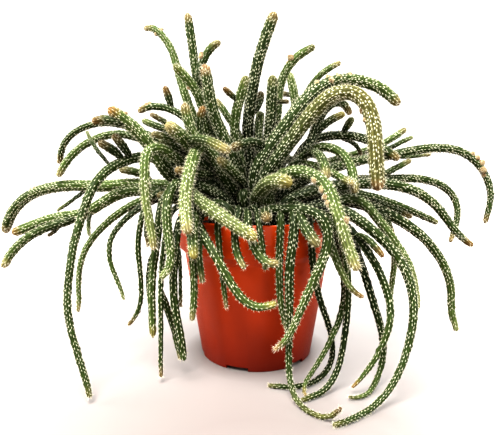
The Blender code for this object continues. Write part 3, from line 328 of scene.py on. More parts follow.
backRules = {
    "sideTurn": 13,
    "sideShare": 0.86,
    "sideLift": 16,
    "start": 122,
    "dip": 16,
    "bendShares": (0.26, 0.52, 0.80, 0.98, 1.0),
    "startLift": 0.2,
    "tipLift": 1.5,
    "widths": (6.6, 6.2, 4.6),
}

soil = {
    "top": 0.0970,
    "rootDepth": 0.0140,
    "rootCollar": 0.0020,
    "rootLean": 0.25,
    "rootPoints": 4,
    "rootInwards": 0.85,
    "rootRounds": 900,
    "rootSpacing": 0.0016,
    "rootPush": 0.3,
    "rootReach": 0.0470,
    "relief": 0.0012,
}

stems = {
    # Left, reaching up and out
    "left_high": Stem(None, (7.4, 8.4, 7.6), (-12, -24, -32), [
        (228, 196), (205, 190), (184, 183), (171, 176), (162, 164), (149, 143), (136, 129), (123, 118.5),
        (113, 111), (108, 108)]),
    "left_high_side": Stem("left_high", (5.4, 5.6), (-30, -33), [
        (128, 126), (118, 121), (105, 118), (98, 118.5), (92, 121.5)]),
    "left_outer_arch": Stem(None, (5.8, 5.0, 4.6), (4, 30, 40), [
        (226, 184), (205, 168), (180, 150), (150, 136), (125, 125.5), (107, 122.5), (95, 123.5), (82, 127.5),
        (69, 136), (61, 148), (59.5, 164)]),
    "left_inner_arch": Stem("left_outer_arch", (5.4, 5.2), (16, 14, 8), [
        (180, 156), (160, 147), (138, 137.5), (122, 133), (105, 135), (88, 142), (72, 154), (61, 169),
        (58, 177)]),
    "left_long_drop": Stem(None, (7.0, 6.8, 4.6, 3.4), (-6, -20, -62, -84), [
        (230, 196), (212, 184), (188, 170), (166, 160), (145, 156), (130, 159), (118, 163), (104, 172),
        (95, 183), (88, 196), (80, 222), (73, 245), (70, 268), (67, 292), (67, 308), (71, 332), (80, 360),
        (87, 382), (90, 396)]),
    "left_long_side_1": Stem("left_long_drop", (5.2, 5.6), (-22, -27), [
        (132, 158), (126, 149), (117, 140), (113, 134)]),
    "left_long_side_2": Stem("left_long_drop", (5.4, 5.8), (-20, -27), [
        (127, 160), (117, 152), (106, 145), (98, 142)]),
    "left_long_side_3": Stem("left_long_drop", (2.6, 2.4), (-24, -14), [
        (108, 168), (100, 154), (92, 143), (86.5, 131)]),
    "left_reach": Stem(None, (7.4, 8.0, 7.2), (0, 12, 22), [
        (232, 198), (205, 190), (175, 186), (150, 185), (125, 184), (105, 186.5), (85, 185.5), (65, 185.5),
        (48, 188), (33, 193), (20, 202), (10, 215), (5, 233)]),
    "left_reach_side_1": Stem("left_reach", (5.6, 5.4), (10, 2), [
        (156, 185), (148, 176), (136, 171), (119, 169.5)]),
    "left_reach_side_2": Stem("left_reach", (2.8, 2.4), (14, 6), [
        (92, 186), (82, 193), (70, 202), (57, 211)]),
    "left_low_reach": Stem(None, (7.4, 7.6, 6.6), (-12, -16, -14), [
        (226, 204), (200, 201), (172, 195), (148, 190), (125, 191), (105, 201), (92, 210), (80, 216),
        (66, 216.5), (48, 220), (32, 226), (12, 233)]),
    "left_low_side_1": Stem("left_low_reach", (5.6, 5.6), (-16, -30), [
        (84, 215), (72, 221.5), (55, 224.5), (40, 230), (26, 238), (14, 249), (6, 259), (3, 268)]),
    "left_low_side_2": Stem("left_low_reach", (2.8, 2.6), (-16, -22), [(94, 209), (86, 220), (89.5, 236)]),
    "left_low_side_3": Stem("left_low_side_1", (2.8, 2.4), (-18, -14), [(66, 223), (57, 230), (48, 236)]),
    "left_bend": Stem(None, (6.4, 6.0, 4.4, 2.8), (-16, -26, -34), [
        (224, 207), (195, 203), (168, 198), (148, 198), (126, 208), (107, 222), (95, 235), (84, 250),
        (79, 270), (78, 286), (80, 303), (78, 312)]),
    "left_bend_side": Stem("left_bend", (4.6, 3.2, 2.4), (-24, -42, -44), [
        (158, 198), (144, 205), (126, 218), (114, 231), (108, 245), (109, 260), (115, 276), (122, 290),
        (124, 300)]),

    # Left, hanging beside the pot
    "hang_outer": Stem(None, (5.0, 4.0, 2.6), (-18, -36, -40), [
        (222, 202), (195, 196), (170, 190), (152, 194), (144, 210), (139, 230), (137.5, 248), (139.5, 265),
        (141.5, 285), (141, 302), (137, 317), (128, 325.5)]),
    "hang_outer_side": Stem("hang_outer", (5.2, 5.6), (-32, -40), [(176, 191), (167, 196), (157, 195.5)]),
    "hang_fuzzy": Stem(None, (6.6, 6.2, 4.8), (-16, -50, -58), [
        (226, 190), (200, 168), (176, 151), (156, 143), (147, 150), (145.5, 165), (145, 182), (146, 200),
        (149, 219), (152.5, 233), (154, 250)]),
    "hang_fuzzy_side": Stem("hang_fuzzy", (2.6, 2.2), (-54, -58), [(147, 212), (145, 226), (148, 247)]),
    "hang_yellow": Stem(None, (5.6, 5.2, 4.4), (-22, -50, -48), [
        (222, 206), (198, 194), (178, 186), (165, 193), (160, 210), (158.5, 232), (155.5, 252), (153, 268),
        (151.5, 290), (152, 310), (153, 336)]),
    "hang_yellow_side": Stem("hang_yellow", (3.8, 3.4), (-50, -38), [
        (157, 243), (151, 258), (148.5, 275), (149, 290), (150, 304)]),
    "hang_straight": Stem(None, (4.6, 3.6, 2.6), (-26, -50, -58), [
        (222, 210), (200, 206), (180, 204), (169, 214), (165.5, 235), (163, 255), (161, 278), (160.5, 300),
        (161, 325), (160.5, 350), (161, 375.5)]),
    "hang_straight_side": Stem("hang_straight", (4.0, 4.0), (-52, -46), [
        (161, 288), (165, 303), (171, 320), (176.5, 336), (181, 358)]),
    "hang_inner": Stem(None, (5.0, 4.8, 4.6), (-28, -62, -58), [
        (224, 213), (205, 210), (188, 212), (179, 226), (176, 245), (174.5, 265), (173, 288), (175.5, 312),
        (180, 332), (184, 359)]),
    "hang_inner_side": Stem("hang_inner", (2.4, 2.2), (-60, -58), [
        (177, 236), (180, 252), (180.3, 280), (180.5, 307)]),
    "hang_hook": Stem(None, (6.4, 6.4, 4.4), (-26, -62, -70), [
        (226, 202), (205, 190), (188, 180), (175, 181), (168, 195), (166, 212), (167.5, 230), (170.5, 247),
        (172.5, 262), (169, 274), (160, 278.5)]),
    "hang_hook_side": Stem("hang_hook", (7.2, 8.2, 6.4), (-46, -70, -76), [
        (188, 182), (193, 195), (206, 206), (220, 215), (232, 223.5), (244, 231), (257, 239)]),
    "hang_pale": Stem(None, (6.8, 7.4, 6.8), (-22, -56, -72), [
        (234, 194), (220, 172), (205, 150), (193, 142), (186.5, 149), (184.5, 164), (182.5, 182),
        (182.5, 202), (184, 220), (188.5, 234)]),
    "hang_rim": Stem(None, (5.2, 4.8, 4.0), (-30, -62, -60), [
        (228, 212), (214, 211), (200, 219), (193, 234), (194, 256), (195, 280), (194.3, 302), (192, 321)]),
    "hang_rim_side": Stem("hang_rim", (5.8, 5.8), (-50, -76), [
        (207, 214), (199, 226), (194.5, 244), (194, 259)]),

    # Front, over and before the pot
    "front_swing": Stem(None, (5.6, 5.6, 4.4), (-34, -72, -74), [
        (234, 214), (218, 216), (205, 226), (205, 241), (213, 255), (222, 270), (231, 287), (240, 300),
        (250, 309), (261, 311), (277, 303)]),
    "front_swing_side": Stem("front_swing", (4.2, 3.8), (-68, -66), [
        (205, 238), (201.5, 255), (201.5, 268), (202.5, 283)]),
    "front_plumb": Stem(None, (4.6, 4.2, 2.8), (-32, -62, -62), [
        (238, 214), (228, 221), (225.5, 236), (225.5, 258), (225.5, 283), (226.5, 308)]),
    "front_plumb_side": Stem("front_plumb", (4.6, 4.2), (-40, -68, -74), [
        (236, 215), (240, 226), (237, 238), (233.5, 251), (234, 263), (239, 269.5), (245, 269)]),
    "front_hook": Stem(None, (5.2, 5.4, 5.0), (-34, -70, -80), [
        (247, 214), (245, 226), (245.5, 240), (249, 254), (256, 267), (265, 274.5), (273, 270.5),
        (278, 262)]),
    "front_hook_side": Stem("front_hook", (3.8, 3.6), (-44, -66, -66), [
        (247, 217), (255, 219), (259, 232), (261.5, 250), (265.5, 270)]),
    "front_stub": Stem(None, (7.0, 7.2), (-22, -52, -64), [(244, 192), (242, 199), (244, 212), (247, 229)]),
    "front_up_left": Stem(None, (6.4, 7.0, 8.0), (-20, -36, -44), [
        (243, 203), (232, 194), (218, 183), (205, 173), (196, 158), (188, 143), (179, 132), (166, 124)]),
    "front_up_side_1": Stem("front_up_left", (5.8, 6.0), (-40, -52), [
        (191, 148), (199, 139), (210, 141), (221, 147.5), (230, 152)]),
    "front_up_side_2": Stem("front_up_left", (3.6, 3.4), (-42, -40), [
        (181, 134), (170, 125), (160, 118), (150, 114)]),
    "front_up_side_3": Stem("front_up_left", (4.8, 4.8), (-40, -34), [
        (190, 147), (176, 139.5), (162, 135.5), (151, 134)]),
    "front_up_side_4": Stem("front_up_left", (5.0, 5.4), (-34, -26), [
        (198, 163), (184, 154), (170, 146), (157, 142)]),
    "front_up_side_5": Stem("front_up_left", (5.4, 6.2), (-32, -54), [
        (214, 181), (201, 180), (187, 175), (175, 170)]),
    "front_up_side_6": Stem("front_up_left", (6.0, 5.8), (-24, -46), [
        (240, 201), (240, 190), (232, 178), (225, 167), (218, 158)]),
    "front_yellow": Stem(None, (8.0, 8.4), (-26, -48, -62), [
        (252, 208), (255, 197), (262, 187), (272, 180), (282, 179.5), (291.5, 184)]),
    "front_shoulder": Stem(None, (8.0, 8.2, 7.2, 6.0), (-18, -44, -70, -80), [
        (262, 198), (268, 186), (278, 177), (291, 171.5), (306, 172), (319, 178), (328, 188), (333, 200),
        (337, 212), (342, 228), (348, 246), (353, 260), (357.5, 271)]),
    "front_cross": Stem(None, (6.2, 6.4, 5.4, 3.0), (-40, -68, -76, -74), [
        (258, 211), (270, 210), (286, 209.5), (302, 210), (316, 211), (325, 218), (329.5, 232), (328, 248),
        (320, 266), (310, 289), (300, 311), (291, 333), (283, 346), (274, 350)]),
    "front_cross_side_1": Stem("front_cross", (6.2, 6.4), (-62, -78), [
        (292, 211), (301, 222), (310, 235), (319, 247)]),
    "front_cross_side_2": Stem("front_cross", (5.6, 6.2), (-50, -78), [
        (262, 211), (264, 215), (268, 219.5)]),
    "front_drop": Stem("front_cross", (4.4, 4.2, 3.6), (-48, -68, -68), [
        (276, 211), (281, 223), (281, 238), (279.5, 258), (279, 280), (280, 303), (284, 320), (288, 331.5)]),
    "front_trail": Stem("front_cross", (5.6, 5.2, 4.2, 3.2, 2.4), (-60, -72, -72, -90, -110), [
        (289, 210), (295, 217), (295, 230), (291.5, 250), (289, 275), (289.5, 300), (289, 330), (288.5, 355),
        (289.5, 380), (292, 393), (302, 407), (315, 416.5), (327, 418.5), (336, 413.5), (341, 406)]),
    "front_ring": Stem(None, (5.4, 4.4, 3.6, 3.0), (-34, -52, -46, -60), [
        (292, 209), (303, 224), (309, 242), (311.5, 265), (314, 287), (321, 309), (329, 328), (333, 345),
        (332.5, 361), (325, 373), (310, 383), (292, 387), (268, 384)]),

    # Top
    "top_left": Stem(None, (6.6, 6.4, 4.4), (4, 22, 30), [
        (230, 182), (215, 156), (201, 131), (191, 112), (184, 91), (178.5, 74), (174.5, 56), (167, 41),
        (157, 28.5), (149, 24.5), (144, 29)]),
    "top_left_side": Stem("top_left", (6.0, 6.0), (10, 0), [
        (214, 154), (206, 128), (202, 106), (193, 85), (174, 65)]),
    "top_slim": Stem(None, (6.4, 6.2, 6.0), (8, 24, 26), [
        (236, 182), (226, 155), (212, 128), (201, 98), (195.5, 72), (193, 50), (190, 30), (187.5, 13)]),
    "top_slim_side": Stem("top_slim", (5.4, 5.4), (20, 12), [
        (200, 94), (198.5, 72), (205, 56), (211, 44), (220.5, 41.5)]),
    "top_pink": Stem(None, (7.2, 7.8, 7.0), (-6, -2, -8), [
        (243, 182), (236, 160), (228, 143), (219, 127), (213, 112), (209, 92), (205, 64)]),
    "top_far_left": Stem(None, (5.6, 5.4, 5.0), (6, 24, 26), [
        (232, 188), (216, 164), (200, 138), (187, 119), (175, 110.5), (160, 106), (146, 105.5), (138, 112)]),
    "top_far_side_1": Stem("top_far_left", (5.4, 5.4), (24, 26), [(172, 110), (169.5, 99), (164.5, 86)]),
    "top_far_side_2": Stem("top_far_left", (5.0, 5.0), (16, 26), [
        (197, 134), (178, 132), (160, 127.5), (142, 120)]),
    "top_short": Stem(None, (6.4, 6.4, 6.2), (-10, -12, -16), [
        (236, 188), (220, 168), (205, 149), (194, 134), (188, 121), (184, 103)]),
    "top_short_side": Stem("top_short", (5.2, 5.2), (-10, -4), [
        (208, 153), (199.5, 137), (198, 122), (203.5, 106)]),
    "top_middle": Stem(None, (6.8, 6.6, 6.4), (2, 4, -2), [
        (246, 184), (240, 158), (235, 136), (235.5, 115), (241, 95), (246.5, 75.5)]),
    "top_middle_side_1": Stem("top_middle", (4.4, 4.2), (4, -6), [(237, 104), (231, 94), (223.5, 87.5)]),
    "top_middle_side_2": Stem("top_middle", (4.8, 4.6), (6, 16), [
        (240, 160), (243, 140), (235, 127), (225, 112), (216, 99)]),
    "top_tall": Stem(None, (7.8, 8.0, 7.4), (6, 14, 10), [
        (252, 184), (248, 158), (247, 132), (249, 110), (252, 90), (257, 65), (264.5, 40), (275, 11.5)]),
    "top_tall_side": Stem("top_tall", (5.4, 5.4), (14, 26), [
        (249.5, 118), (258, 107), (261, 98), (261, 91.5)]),
    "top_blunt": Stem(None, (7.6, 7.8, 7.2), (4, 12, 8), [
        (260, 184), (264, 160), (269, 137), (271, 112), (272, 92), (273, 75)]),
    "top_blunt_side_1": Stem("top_blunt", (6.6, 6.6), (10, 30), [
        (264, 160), (257, 142), (259, 126), (260.5, 111.5)]),
    "top_blunt_side_2": Stem("top_blunt", (3.6, 3.4), (12, 14), [(271, 104), (279, 101.5), (289, 101.5)]),
    "top_lean": Stem(None, (5.6, 6.4, 5.6), (10, 32, 28), [
        (266, 188), (271, 160), (276, 130), (278, 104), (280, 84), (287, 68), (299, 54), (315, 46)]),
    "top_back": Stem(None, (6.8, 7.2, 6.4), (20, 54, 56), [
        (274, 182), (284, 152), (295, 122), (295.5, 102), (292.5, 86), (289, 72)]),
    "top_back_side_1": Stem("top_back", (4.6, 4.6), (54, 58), [(294, 95), (288, 94), (280, 93.5)]),
    "top_back_side_2": Stem("top_back", (3.8, 4.6, 4.4), (30, 40, 34), [
        (278, 168), (294, 124), (304, 97), (313, 83), (324, 70.5), (341, 62)]),

    # Right, reaching up and out
    "right_great_arch": Stem(None, (8.2, 9.2, 7.8, 6.4), (-10, -4, 10, 8), [
        (252, 188), (258, 165), (271, 146), (286, 126), (300, 106), (315, 91), (333, 81), (350, 79),
        (368, 82.5), (384, 89.5), (399.5, 105)]),
    "right_great_side": Stem("right_great_arch", (6.2, 6.4), (-6, -14), [
        (267, 151), (262, 141.5), (247, 141.5), (231, 149)]),
    "right_pink_arch": Stem(None, (7.8, 8.4, 7.8), (-18, -22, -40), [
        (258, 201), (262, 183), (277, 159), (292, 139), (307, 119), (323, 101), (339, 91.5), (355, 91.5),
        (367, 103), (373.5, 122), (375.5, 145), (378, 191)]),
    "right_dark_arch": Stem(None, (7.4, 7.0, 5.0), (4, 16, 18), [
        (272, 196), (292, 170), (309, 147), (315.5, 128), (325, 108), (337, 100), (347, 103), (350, 115)]),
    "right_dark_side": Stem("right_dark_arch", (5.2, 5.2), (14, 6), [
        (314, 136), (322, 127), (332, 117.5), (345, 113.5)]),
    "right_level": Stem(None, (6.2, 6.4, 6.2), (8, 32, 16), [
        (276, 192), (292, 166), (306, 144), (322, 136.5), (345, 135), (363, 137.5), (381, 147), (399, 160)]),
    "right_level_side_1": Stem("right_level", (5.4, 5.6), (32, 20), [(343, 135), (347, 125), (353, 117.5)]),
    "right_level_side_2": Stem("right_level", (3.2, 3.0), (32, 40), [
        (338, 135), (348, 140.5), (358, 144), (362, 157)]),
    "right_fuzzy_arch": Stem(None, (5.6, 5.8, 5.6), (-12, -26, -44), [
        (270, 196), (290, 174), (308, 154), (323, 145.5), (337, 148.5), (348, 158), (354, 173),
        (354.5, 193)]),
    "right_fuzzy_side_1": Stem("right_fuzzy_arch", (6.0, 6.0), (-22, -48), [
        (305, 157), (318, 152), (325, 163), (327, 178)]),
    "right_fuzzy_side_2": Stem("right_fuzzy_arch", (4.0, 4.4, 5.0), (-16, -30, -46), [
        (279, 187), (289, 164), (303, 161), (321, 167), (337, 175), (353, 184.5)]),
    "right_twin": Stem(None, (5.6, 5.4, 5.2), (14, 50, 58), [
        (280, 188), (310, 168), (340, 158), (368, 150), (388, 141), (406, 128.5)]),
    "right_twin_side": Stem("right_twin", (3.6, 3.6), (40, 44), [
        (366, 152), (388, 150), (400, 142), (413, 137)]),
    "right_far_arch": Stem(None, (7.0, 6.8, 6.4, 3.6), (0, 26, 30, 18), [
        (276, 198), (300, 182), (330, 169), (362, 160), (392, 155), (415, 150), (440, 147.5), (460, 150.5),
        (475, 160), (486, 175), (491.5, 196), (485, 223.5)]),
    "right_far_side": Stem("right_far_arch", (2.6, 2.4), (28, 20), [
        (388, 156), (404, 158), (418, 156), (431, 154.5)]),
    "right_orange_tip": Stem(None, (7.2, 7.6, 6.4, 4.2), (-10, -12, -22), [
        (280, 204), (310, 192), (340, 185), (370, 183.5), (395, 185), (415, 190.5), (432, 201), (445, 216),
        (456, 233), (473, 246)]),
    "right_under_arch": Stem("right_orange_tip", (6.0, 6.4, 5.4, 3.4), (-6, 24, 30, 10), [
        (330, 187), (350, 179), (375, 180), (400, 178.5), (420, 178.5), (440, 184), (453, 194), (458.5, 210),
        (455, 229), (450, 242)]),
    "right_under_side": Stem("right_under_arch", (4.4, 4.2), (12, 22), [
        (373, 180), (390, 171), (411, 160)]),
    "right_slant": Stem(None, (6.6, 6.6, 4.4), (0, 8, 6), [
        (284, 208), (312, 199), (340, 194.5), (368, 196), (390, 202.5), (413, 211.5), (438, 223)]),
    "right_slant_side": Stem("right_slant", (3.8, 3.8), (6, -4), [
        (366, 196), (382, 205), (398, 210.5), (412, 217.5)]),

    # Right, hanging and trailing
    "right_far_drop": Stem(None, (5.8, 5.4, 4.2), (14, 44, 48), [
        (284, 200), (318, 186), (350, 189), (374, 203), (387, 222), (393, 243), (394.5, 265), (391, 288),
        (389, 304)]),
    "right_wide_drop": Stem(None, (7.2, 7.8, 6.2, 4.0), (-8, -24, -30), [
        (286, 214), (314, 204), (342, 200.5), (366, 205), (390, 215), (413, 228.5), (432, 246), (446, 269),
        (452, 292), (450.5, 314), (457, 329.5)]),
    "right_wide_side": Stem("right_wide_drop", (4.4, 4.2), (-24, -34), [
        (372, 208), (384, 216), (391, 226), (393, 237)]),
    "right_floor_trail": Stem(None, (7.0, 7.2, 5.4, 3.8, 3.0), (-20, -48, -66, -86, -108), [
        (290, 215), (318, 212), (346, 216), (368, 229.5), (390, 248), (406, 271), (413.5, 297), (413, 325),
        (405, 357), (389, 390), (367, 410.5), (347, 421), (333, 424)]),
    "right_floor_side": Stem("right_floor_trail", (6.0, 5.8, 3.8), (-36, -34, -42), [
        (320, 212), (348, 199), (364, 204), (381, 224), (399, 248), (412.5, 272), (418, 309)]),
    "right_curl": Stem(None, (5.6, 5.2, 4.4, 2.2), (-34, -60, -76, -72), [
        (300, 214), (326, 219), (348, 234), (368, 255), (383, 281), (391, 306), (389, 331), (377, 355),
        (363, 375.5), (352, 386)]),
    "right_curl_side_1": Stem("right_curl", (5.0, 4.8, 4.0, 2.2), (-46, -56, -60, -80), [
        (330, 221), (349, 240), (362, 270), (372, 300), (380, 325), (384, 348), (379, 374), (366, 396),
        (358, 399.5), (348.5, 395)]),
    "right_curl_side_2": Stem("right_curl", (3.8, 4.0), (-58, -74), [
        (350, 236), (364, 238.5), (375, 247), (383.5, 257)]),
    "right_loop": Stem(None, (5.2, 5.0, 4.0, 3.2), (-34, -54, -66, -86), [
        (298, 217), (320, 225), (337, 239), (345, 258), (348, 285), (347.5, 312), (344, 342), (338, 370),
        (326, 390.5), (313, 398), (300, 401)]),
    "right_loop_side": Stem("right_loop", (5.0, 4.6, 3.6, 2.0), (-44, -48, -62, -80), [
        (325, 228), (336, 246), (343, 270), (345, 296), (340, 320), (329, 343), (316, 366), (304, 383),
        (301, 391), (306, 397.5)]),
    "right_gold": Stem("right_loop", (4.8, 4.8, 2.8), (-44, -62, -74), [
        (312, 222), (319, 234), (327, 249), (337, 271), (347, 289), (355, 297), (363.5, 297.5)]),
}

# The side that the photograph doesn't show: the same arching stems, each with one side stem.
# Azimuth in degrees, reach, crest height and tip height in mm.
backStems = {
    "back_1": (62, 104, 150, 58),
    "back_2": (76, 128, 146, 22),
    "back_3": (88, 96, 152, 84),
    "back_4": (99, 138, 144, 12),
    "back_5": (110, 108, 150, 48),
    "back_6": (122, 96, 146, 70),
    "back_7": (105, 78, 138, 18),
}

buds = [
    Bud("left_high", (129, 111), 2.2),
    Bud("left_reach", (28, 182.5), 2.0),
    Bud("left_reach", (33, 186), 1.8),
    Bud("top_left", (163.5, 28.5), 2.0),
    Bud("top_left", (156, 34), 1.8),
    Bud("top_left_side", (187, 88), 2.0),
    Bud("top_slim_side", (202, 55.5), 3.0),
    Bud("top_far_left", (144, 102.5), 1.9),
    Bud("top_far_left", (150, 99), 2.0),
    Bud("top_lean", (291, 58), 3.0),
    Bud("top_lean", (286.5, 60.5), 1.6),
    Bud("right_great_arch", (317, 82), 2.7),
    Bud("right_great_arch", (327, 75.5), 2.8),
    Bud("right_great_arch", (331, 81), 2.6),
    Bud("right_great_arch", (338, 73), 2.3),
    Bud("right_great_arch", (341, 78), 2.2),
    Bud("right_great_arch", (350, 71), 2.4),
    Bud("right_great_arch", (346, 74.5), 1.8),
    Bud("right_pink_arch", (363, 110.5), 2.9),
    Bud("right_pink_arch", (365, 120), 2.6),
    Bud("right_far_arch", (476, 148.5), 2.4),
    Bud("right_far_arch", (483, 150), 2.6),
    Bud("right_far_arch", (487, 157), 2.8),
    Bud("right_far_arch", (483, 170), 2.9),
    Bud("right_far_arch", (484, 175), 2.0),
    Bud("front_shoulder", (315, 180), 2.7),
    Bud("front_shoulder", (323, 189), 2.8),
    Bud("front_shoulder", (321, 198), 2.5),
    Bud("front_shoulder", (327, 203), 2.3),
    Bud("front_shoulder", (327, 207), 2.0),
    Bud("front_shoulder", (348, 218), 2.7),
]


def makeCamera():
    camera = bpy.data.objects.new("camera", bpy.data.cameras.new("camera"))
    camera.data.lens = studio["lens"]
    camera.data.sensor_width = studio["sensor"]
    camera.data.clip_start = studio["nearest"]
    camera.location = photoView["eye"]
    camera.rotation_euler = (math.pi / 2 - photoView["pitch"], 0.0, 0.0)
    bpy.context.scene.collection.objects.link(camera)
    bpy.context.scene.camera = camera
    bpy.context.scene.view_settings.view_transform = "Standard"
    bpy.context.scene.view_settings.look = studio["contrast"]


def areaLight(name, place, size, power):
    light = bpy.data.objects.new(name, bpy.data.lights.new(name, "AREA"))
    light.data.size = size
    light.data.energy = power
    light.location = place
    aim = Vector(studio["lampAim"]) - Vector(place)
    light.rotation_euler = aim.to_track_quat("-Z", "Y").to_euler()
    bpy.context.scene.collection.objects.link(light)


def makeStudio():
    # A pale floor that rises all round into a wall, a white sky over it and soft lamps. The floor also glows
    # for the camera alone: painted light that grows from the pot's front out to the wall, kept off in a ring
    # round the pot's foot as a painted shadow
    radius = studio["floorRadius"]
    bend = studio["bowlBend"]
    sides = studio["bowlSides"]
    profile = [(share * radius, 0.0) for share in studio["flatRings"]]
    for k in range(1, studio["bowlParts"] + 1):
        turn = math.pi / 2 * k / studio["bowlParts"]
        profile.append((radius + bend * math.sin(turn), bend * (1 - math.cos(turn))))
    profile.append((radius + bend, studio["bowlHeight"]))
    bm = bmesh.new()
    rings = [vertRing(bm, far, height, sides) for far, height in profile]
    bm.faces.new(rings[0])
    for low, high in zip(rings, rings[1:]):
        for k in range(sides):
            bm.faces.new((low[k], high[k], high[(k + 1) % sides], low[(k + 1) % sides]))
    mesh = bpy.data.meshes.new("floor")
    bm.to_mesh(mesh)
    bm.free()
    mesh.polygons.foreach_set("use_smooth", [True] * len(mesh.polygons))
    look, tree, shader = newMaterial("floorPaint")
    patches = placeMottle(tree, *studio["floorScales"])[0]
    tone = tuple(studio["floorPatch"] * c for c in studio["floorColour"])
    tree.links.new(mixColour(tree, patches, tone, studio["floorColour"]), shader.inputs["Base Color"])
    shader.inputs["Roughness"].default_value = studio["floorRoughness"]
    shader.inputs["Emission Color"].default_value = studio["glowColour"]
    place = tree.nodes.new("ShaderNodeTexCoord").outputs["Object"]
    # Painted light and shadow: the glow grows with the distance from the pot's front, and the ring round the
    # pot's foot keeps it off there
    front = vectorMath(tree, "LENGTH", vectorMath(tree, "ADD", place, studio["glowCentre"]))
    far = ramp(tree, front, *studio["glowReach"], studio["floorGlow"], studio["backdropGlow"])
    clear = ramp(tree, vectorMath(tree, "LENGTH", place), *studio["paintedShadowRing"])
    seen = tree.nodes.new("ShaderNodeLightPath").outputs["Is Camera Ray"]
    tree.links.new(mathNode(tree, "MULTIPLY", mathNode(tree, "MULTIPLY", far, clear), seen),
                   shader.inputs["Emission Strength"])
    floor = objectOf("floor", mesh, look)
    world = bpy.data.worlds.new("studioSky")
    bpy.context.scene.world = world
    world.use_nodes = True
    sky = world.node_tree.nodes["Background"].inputs
    sky["Color"].default_value = studio["skyColour"]
    sky["Strength"].default_value = studio["skyLight"]
    for name, (place, size, power) in lamps.items():
        areaLight(name, place, size, power)


makeCamera()
makeStudio()
print("camera and studio made")


potLook = {
    "colour": (0.67, 0.076, 0.006),
    "deep": (0.60, 0.068, 0.005),
    # Painted shade: the pot darkens towards this colour at its foot, from the height below down
    "foot": (0.17, 0.012, 0.002),
    "footShadeTop": 0.095,
    "scales": (38.0, 900.0),
    "roughness": (0.31, 0.43),
    "gloss": 0.28,
    "bump": (0.12, 0.0002),
    "segments": 144,
    "corner": 0.0016,
    "cornerShare": 0.33,
    "cornerParts": 3,
    "sharpAngle": math.radians(40),
    "floorLift": 0.0032,
    "floor": 0.0018,
    "padRadius": 0.0150,
    "padSlope": 0.0025,
    "ringTopWidth": 2.0,
    "ringFootWidth": 1.5,
    "footEdge": 0.25,
    "lip": 0.0008,
    "slots": 6,
    "slotWidth": 0.0167,
    "slotHeight": 0.0030,
    "slotAzimuth": math.radians(-109.7),
    "drainRadius": 0.0042,
    "drainRing": 0.0270,
    "drainSides": 24,
    "cutReach": 6,
}


def rounded(profile):
    # The profile with its corners rounded off, each by at most a third of its shorter side
    share = potLook["cornerShare"]
    out = [profile[0]]
    for before, corner, after in zip(profile, profile[1:], profile[2:]):
        b, c, a = (np.array(p) for p in (before, corner, after))
        cut = min(potLook["corner"], share * np.linalg.norm(b - c), share * np.linalg.norm(a - c))
        start = c + cut * (b - c) / np.linalg.norm(b - c)
        end = c + cut * (a - c) / np.linalg.norm(a - c)
        for k in range(potLook["cornerParts"] + 1):
            t = k / potLook["cornerParts"]
            out.append(tuple((1 - t) ** 2 * start + 2 * t * (1 - t) * c + t ** 2 * end))
    out.append(profile[-1])
    return out


def potMaterial():
    # Red plastic with random patches and grain, and painted shade that darkens it towards the foot
    look, tree, shader = newMaterial("terracottaPlastic")
    patches, grain = placeMottle(tree, *potLook["scales"])
    place = tree.nodes.new("ShaderNodeTexCoord").outputs["Object"]
    height = addNode(tree, "ShaderNodeSeparateXYZ", Vector=place).outputs["Z"]
    colour = mixColour(tree, patches, potLook["deep"], potLook["colour"])
    # Painted shade towards the foot
    paintedFootShade = ramp(tree, height, 0.0, potLook["footShadeTop"], 1.0, 0.0)
    tree.links.new(mixColour(tree, paintedFootShade, colour, potLook["foot"]), shader.inputs["Base Color"])
    grainFinish(tree, shader, grain, potLook)
    return look


def holeCutter(kind):
    # A box across the foot of the wall for a slot, or a round bar through the floor for a drain hole
    bm = bmesh.new()
    if kind == "slot":
        bmesh.ops.create_cube(bm, size=1.0)
        for vert in bm.verts:
            vert.co.x = vert.co.x * potLook["cutReach"] * pot["wall"] + pot["footRadius"] - pot["wall"]
            vert.co.y *= potLook["slotWidth"]
            vert.co.z = vert.co.z * 2 * potLook["slotHeight"]
    else:
        bmesh.ops.create_cone(bm, cap_ends=True, segments=potLook["drainSides"],
                              radius1=potLook["drainRadius"], radius2=potLook["drainRadius"],
                              depth=potLook["cutReach"] * potLook["floor"])
        bmesh.ops.translate(bm, verts=bm.verts, vec=(potLook["drainRing"], 0.0, potLook["floorLift"]))
    return bm


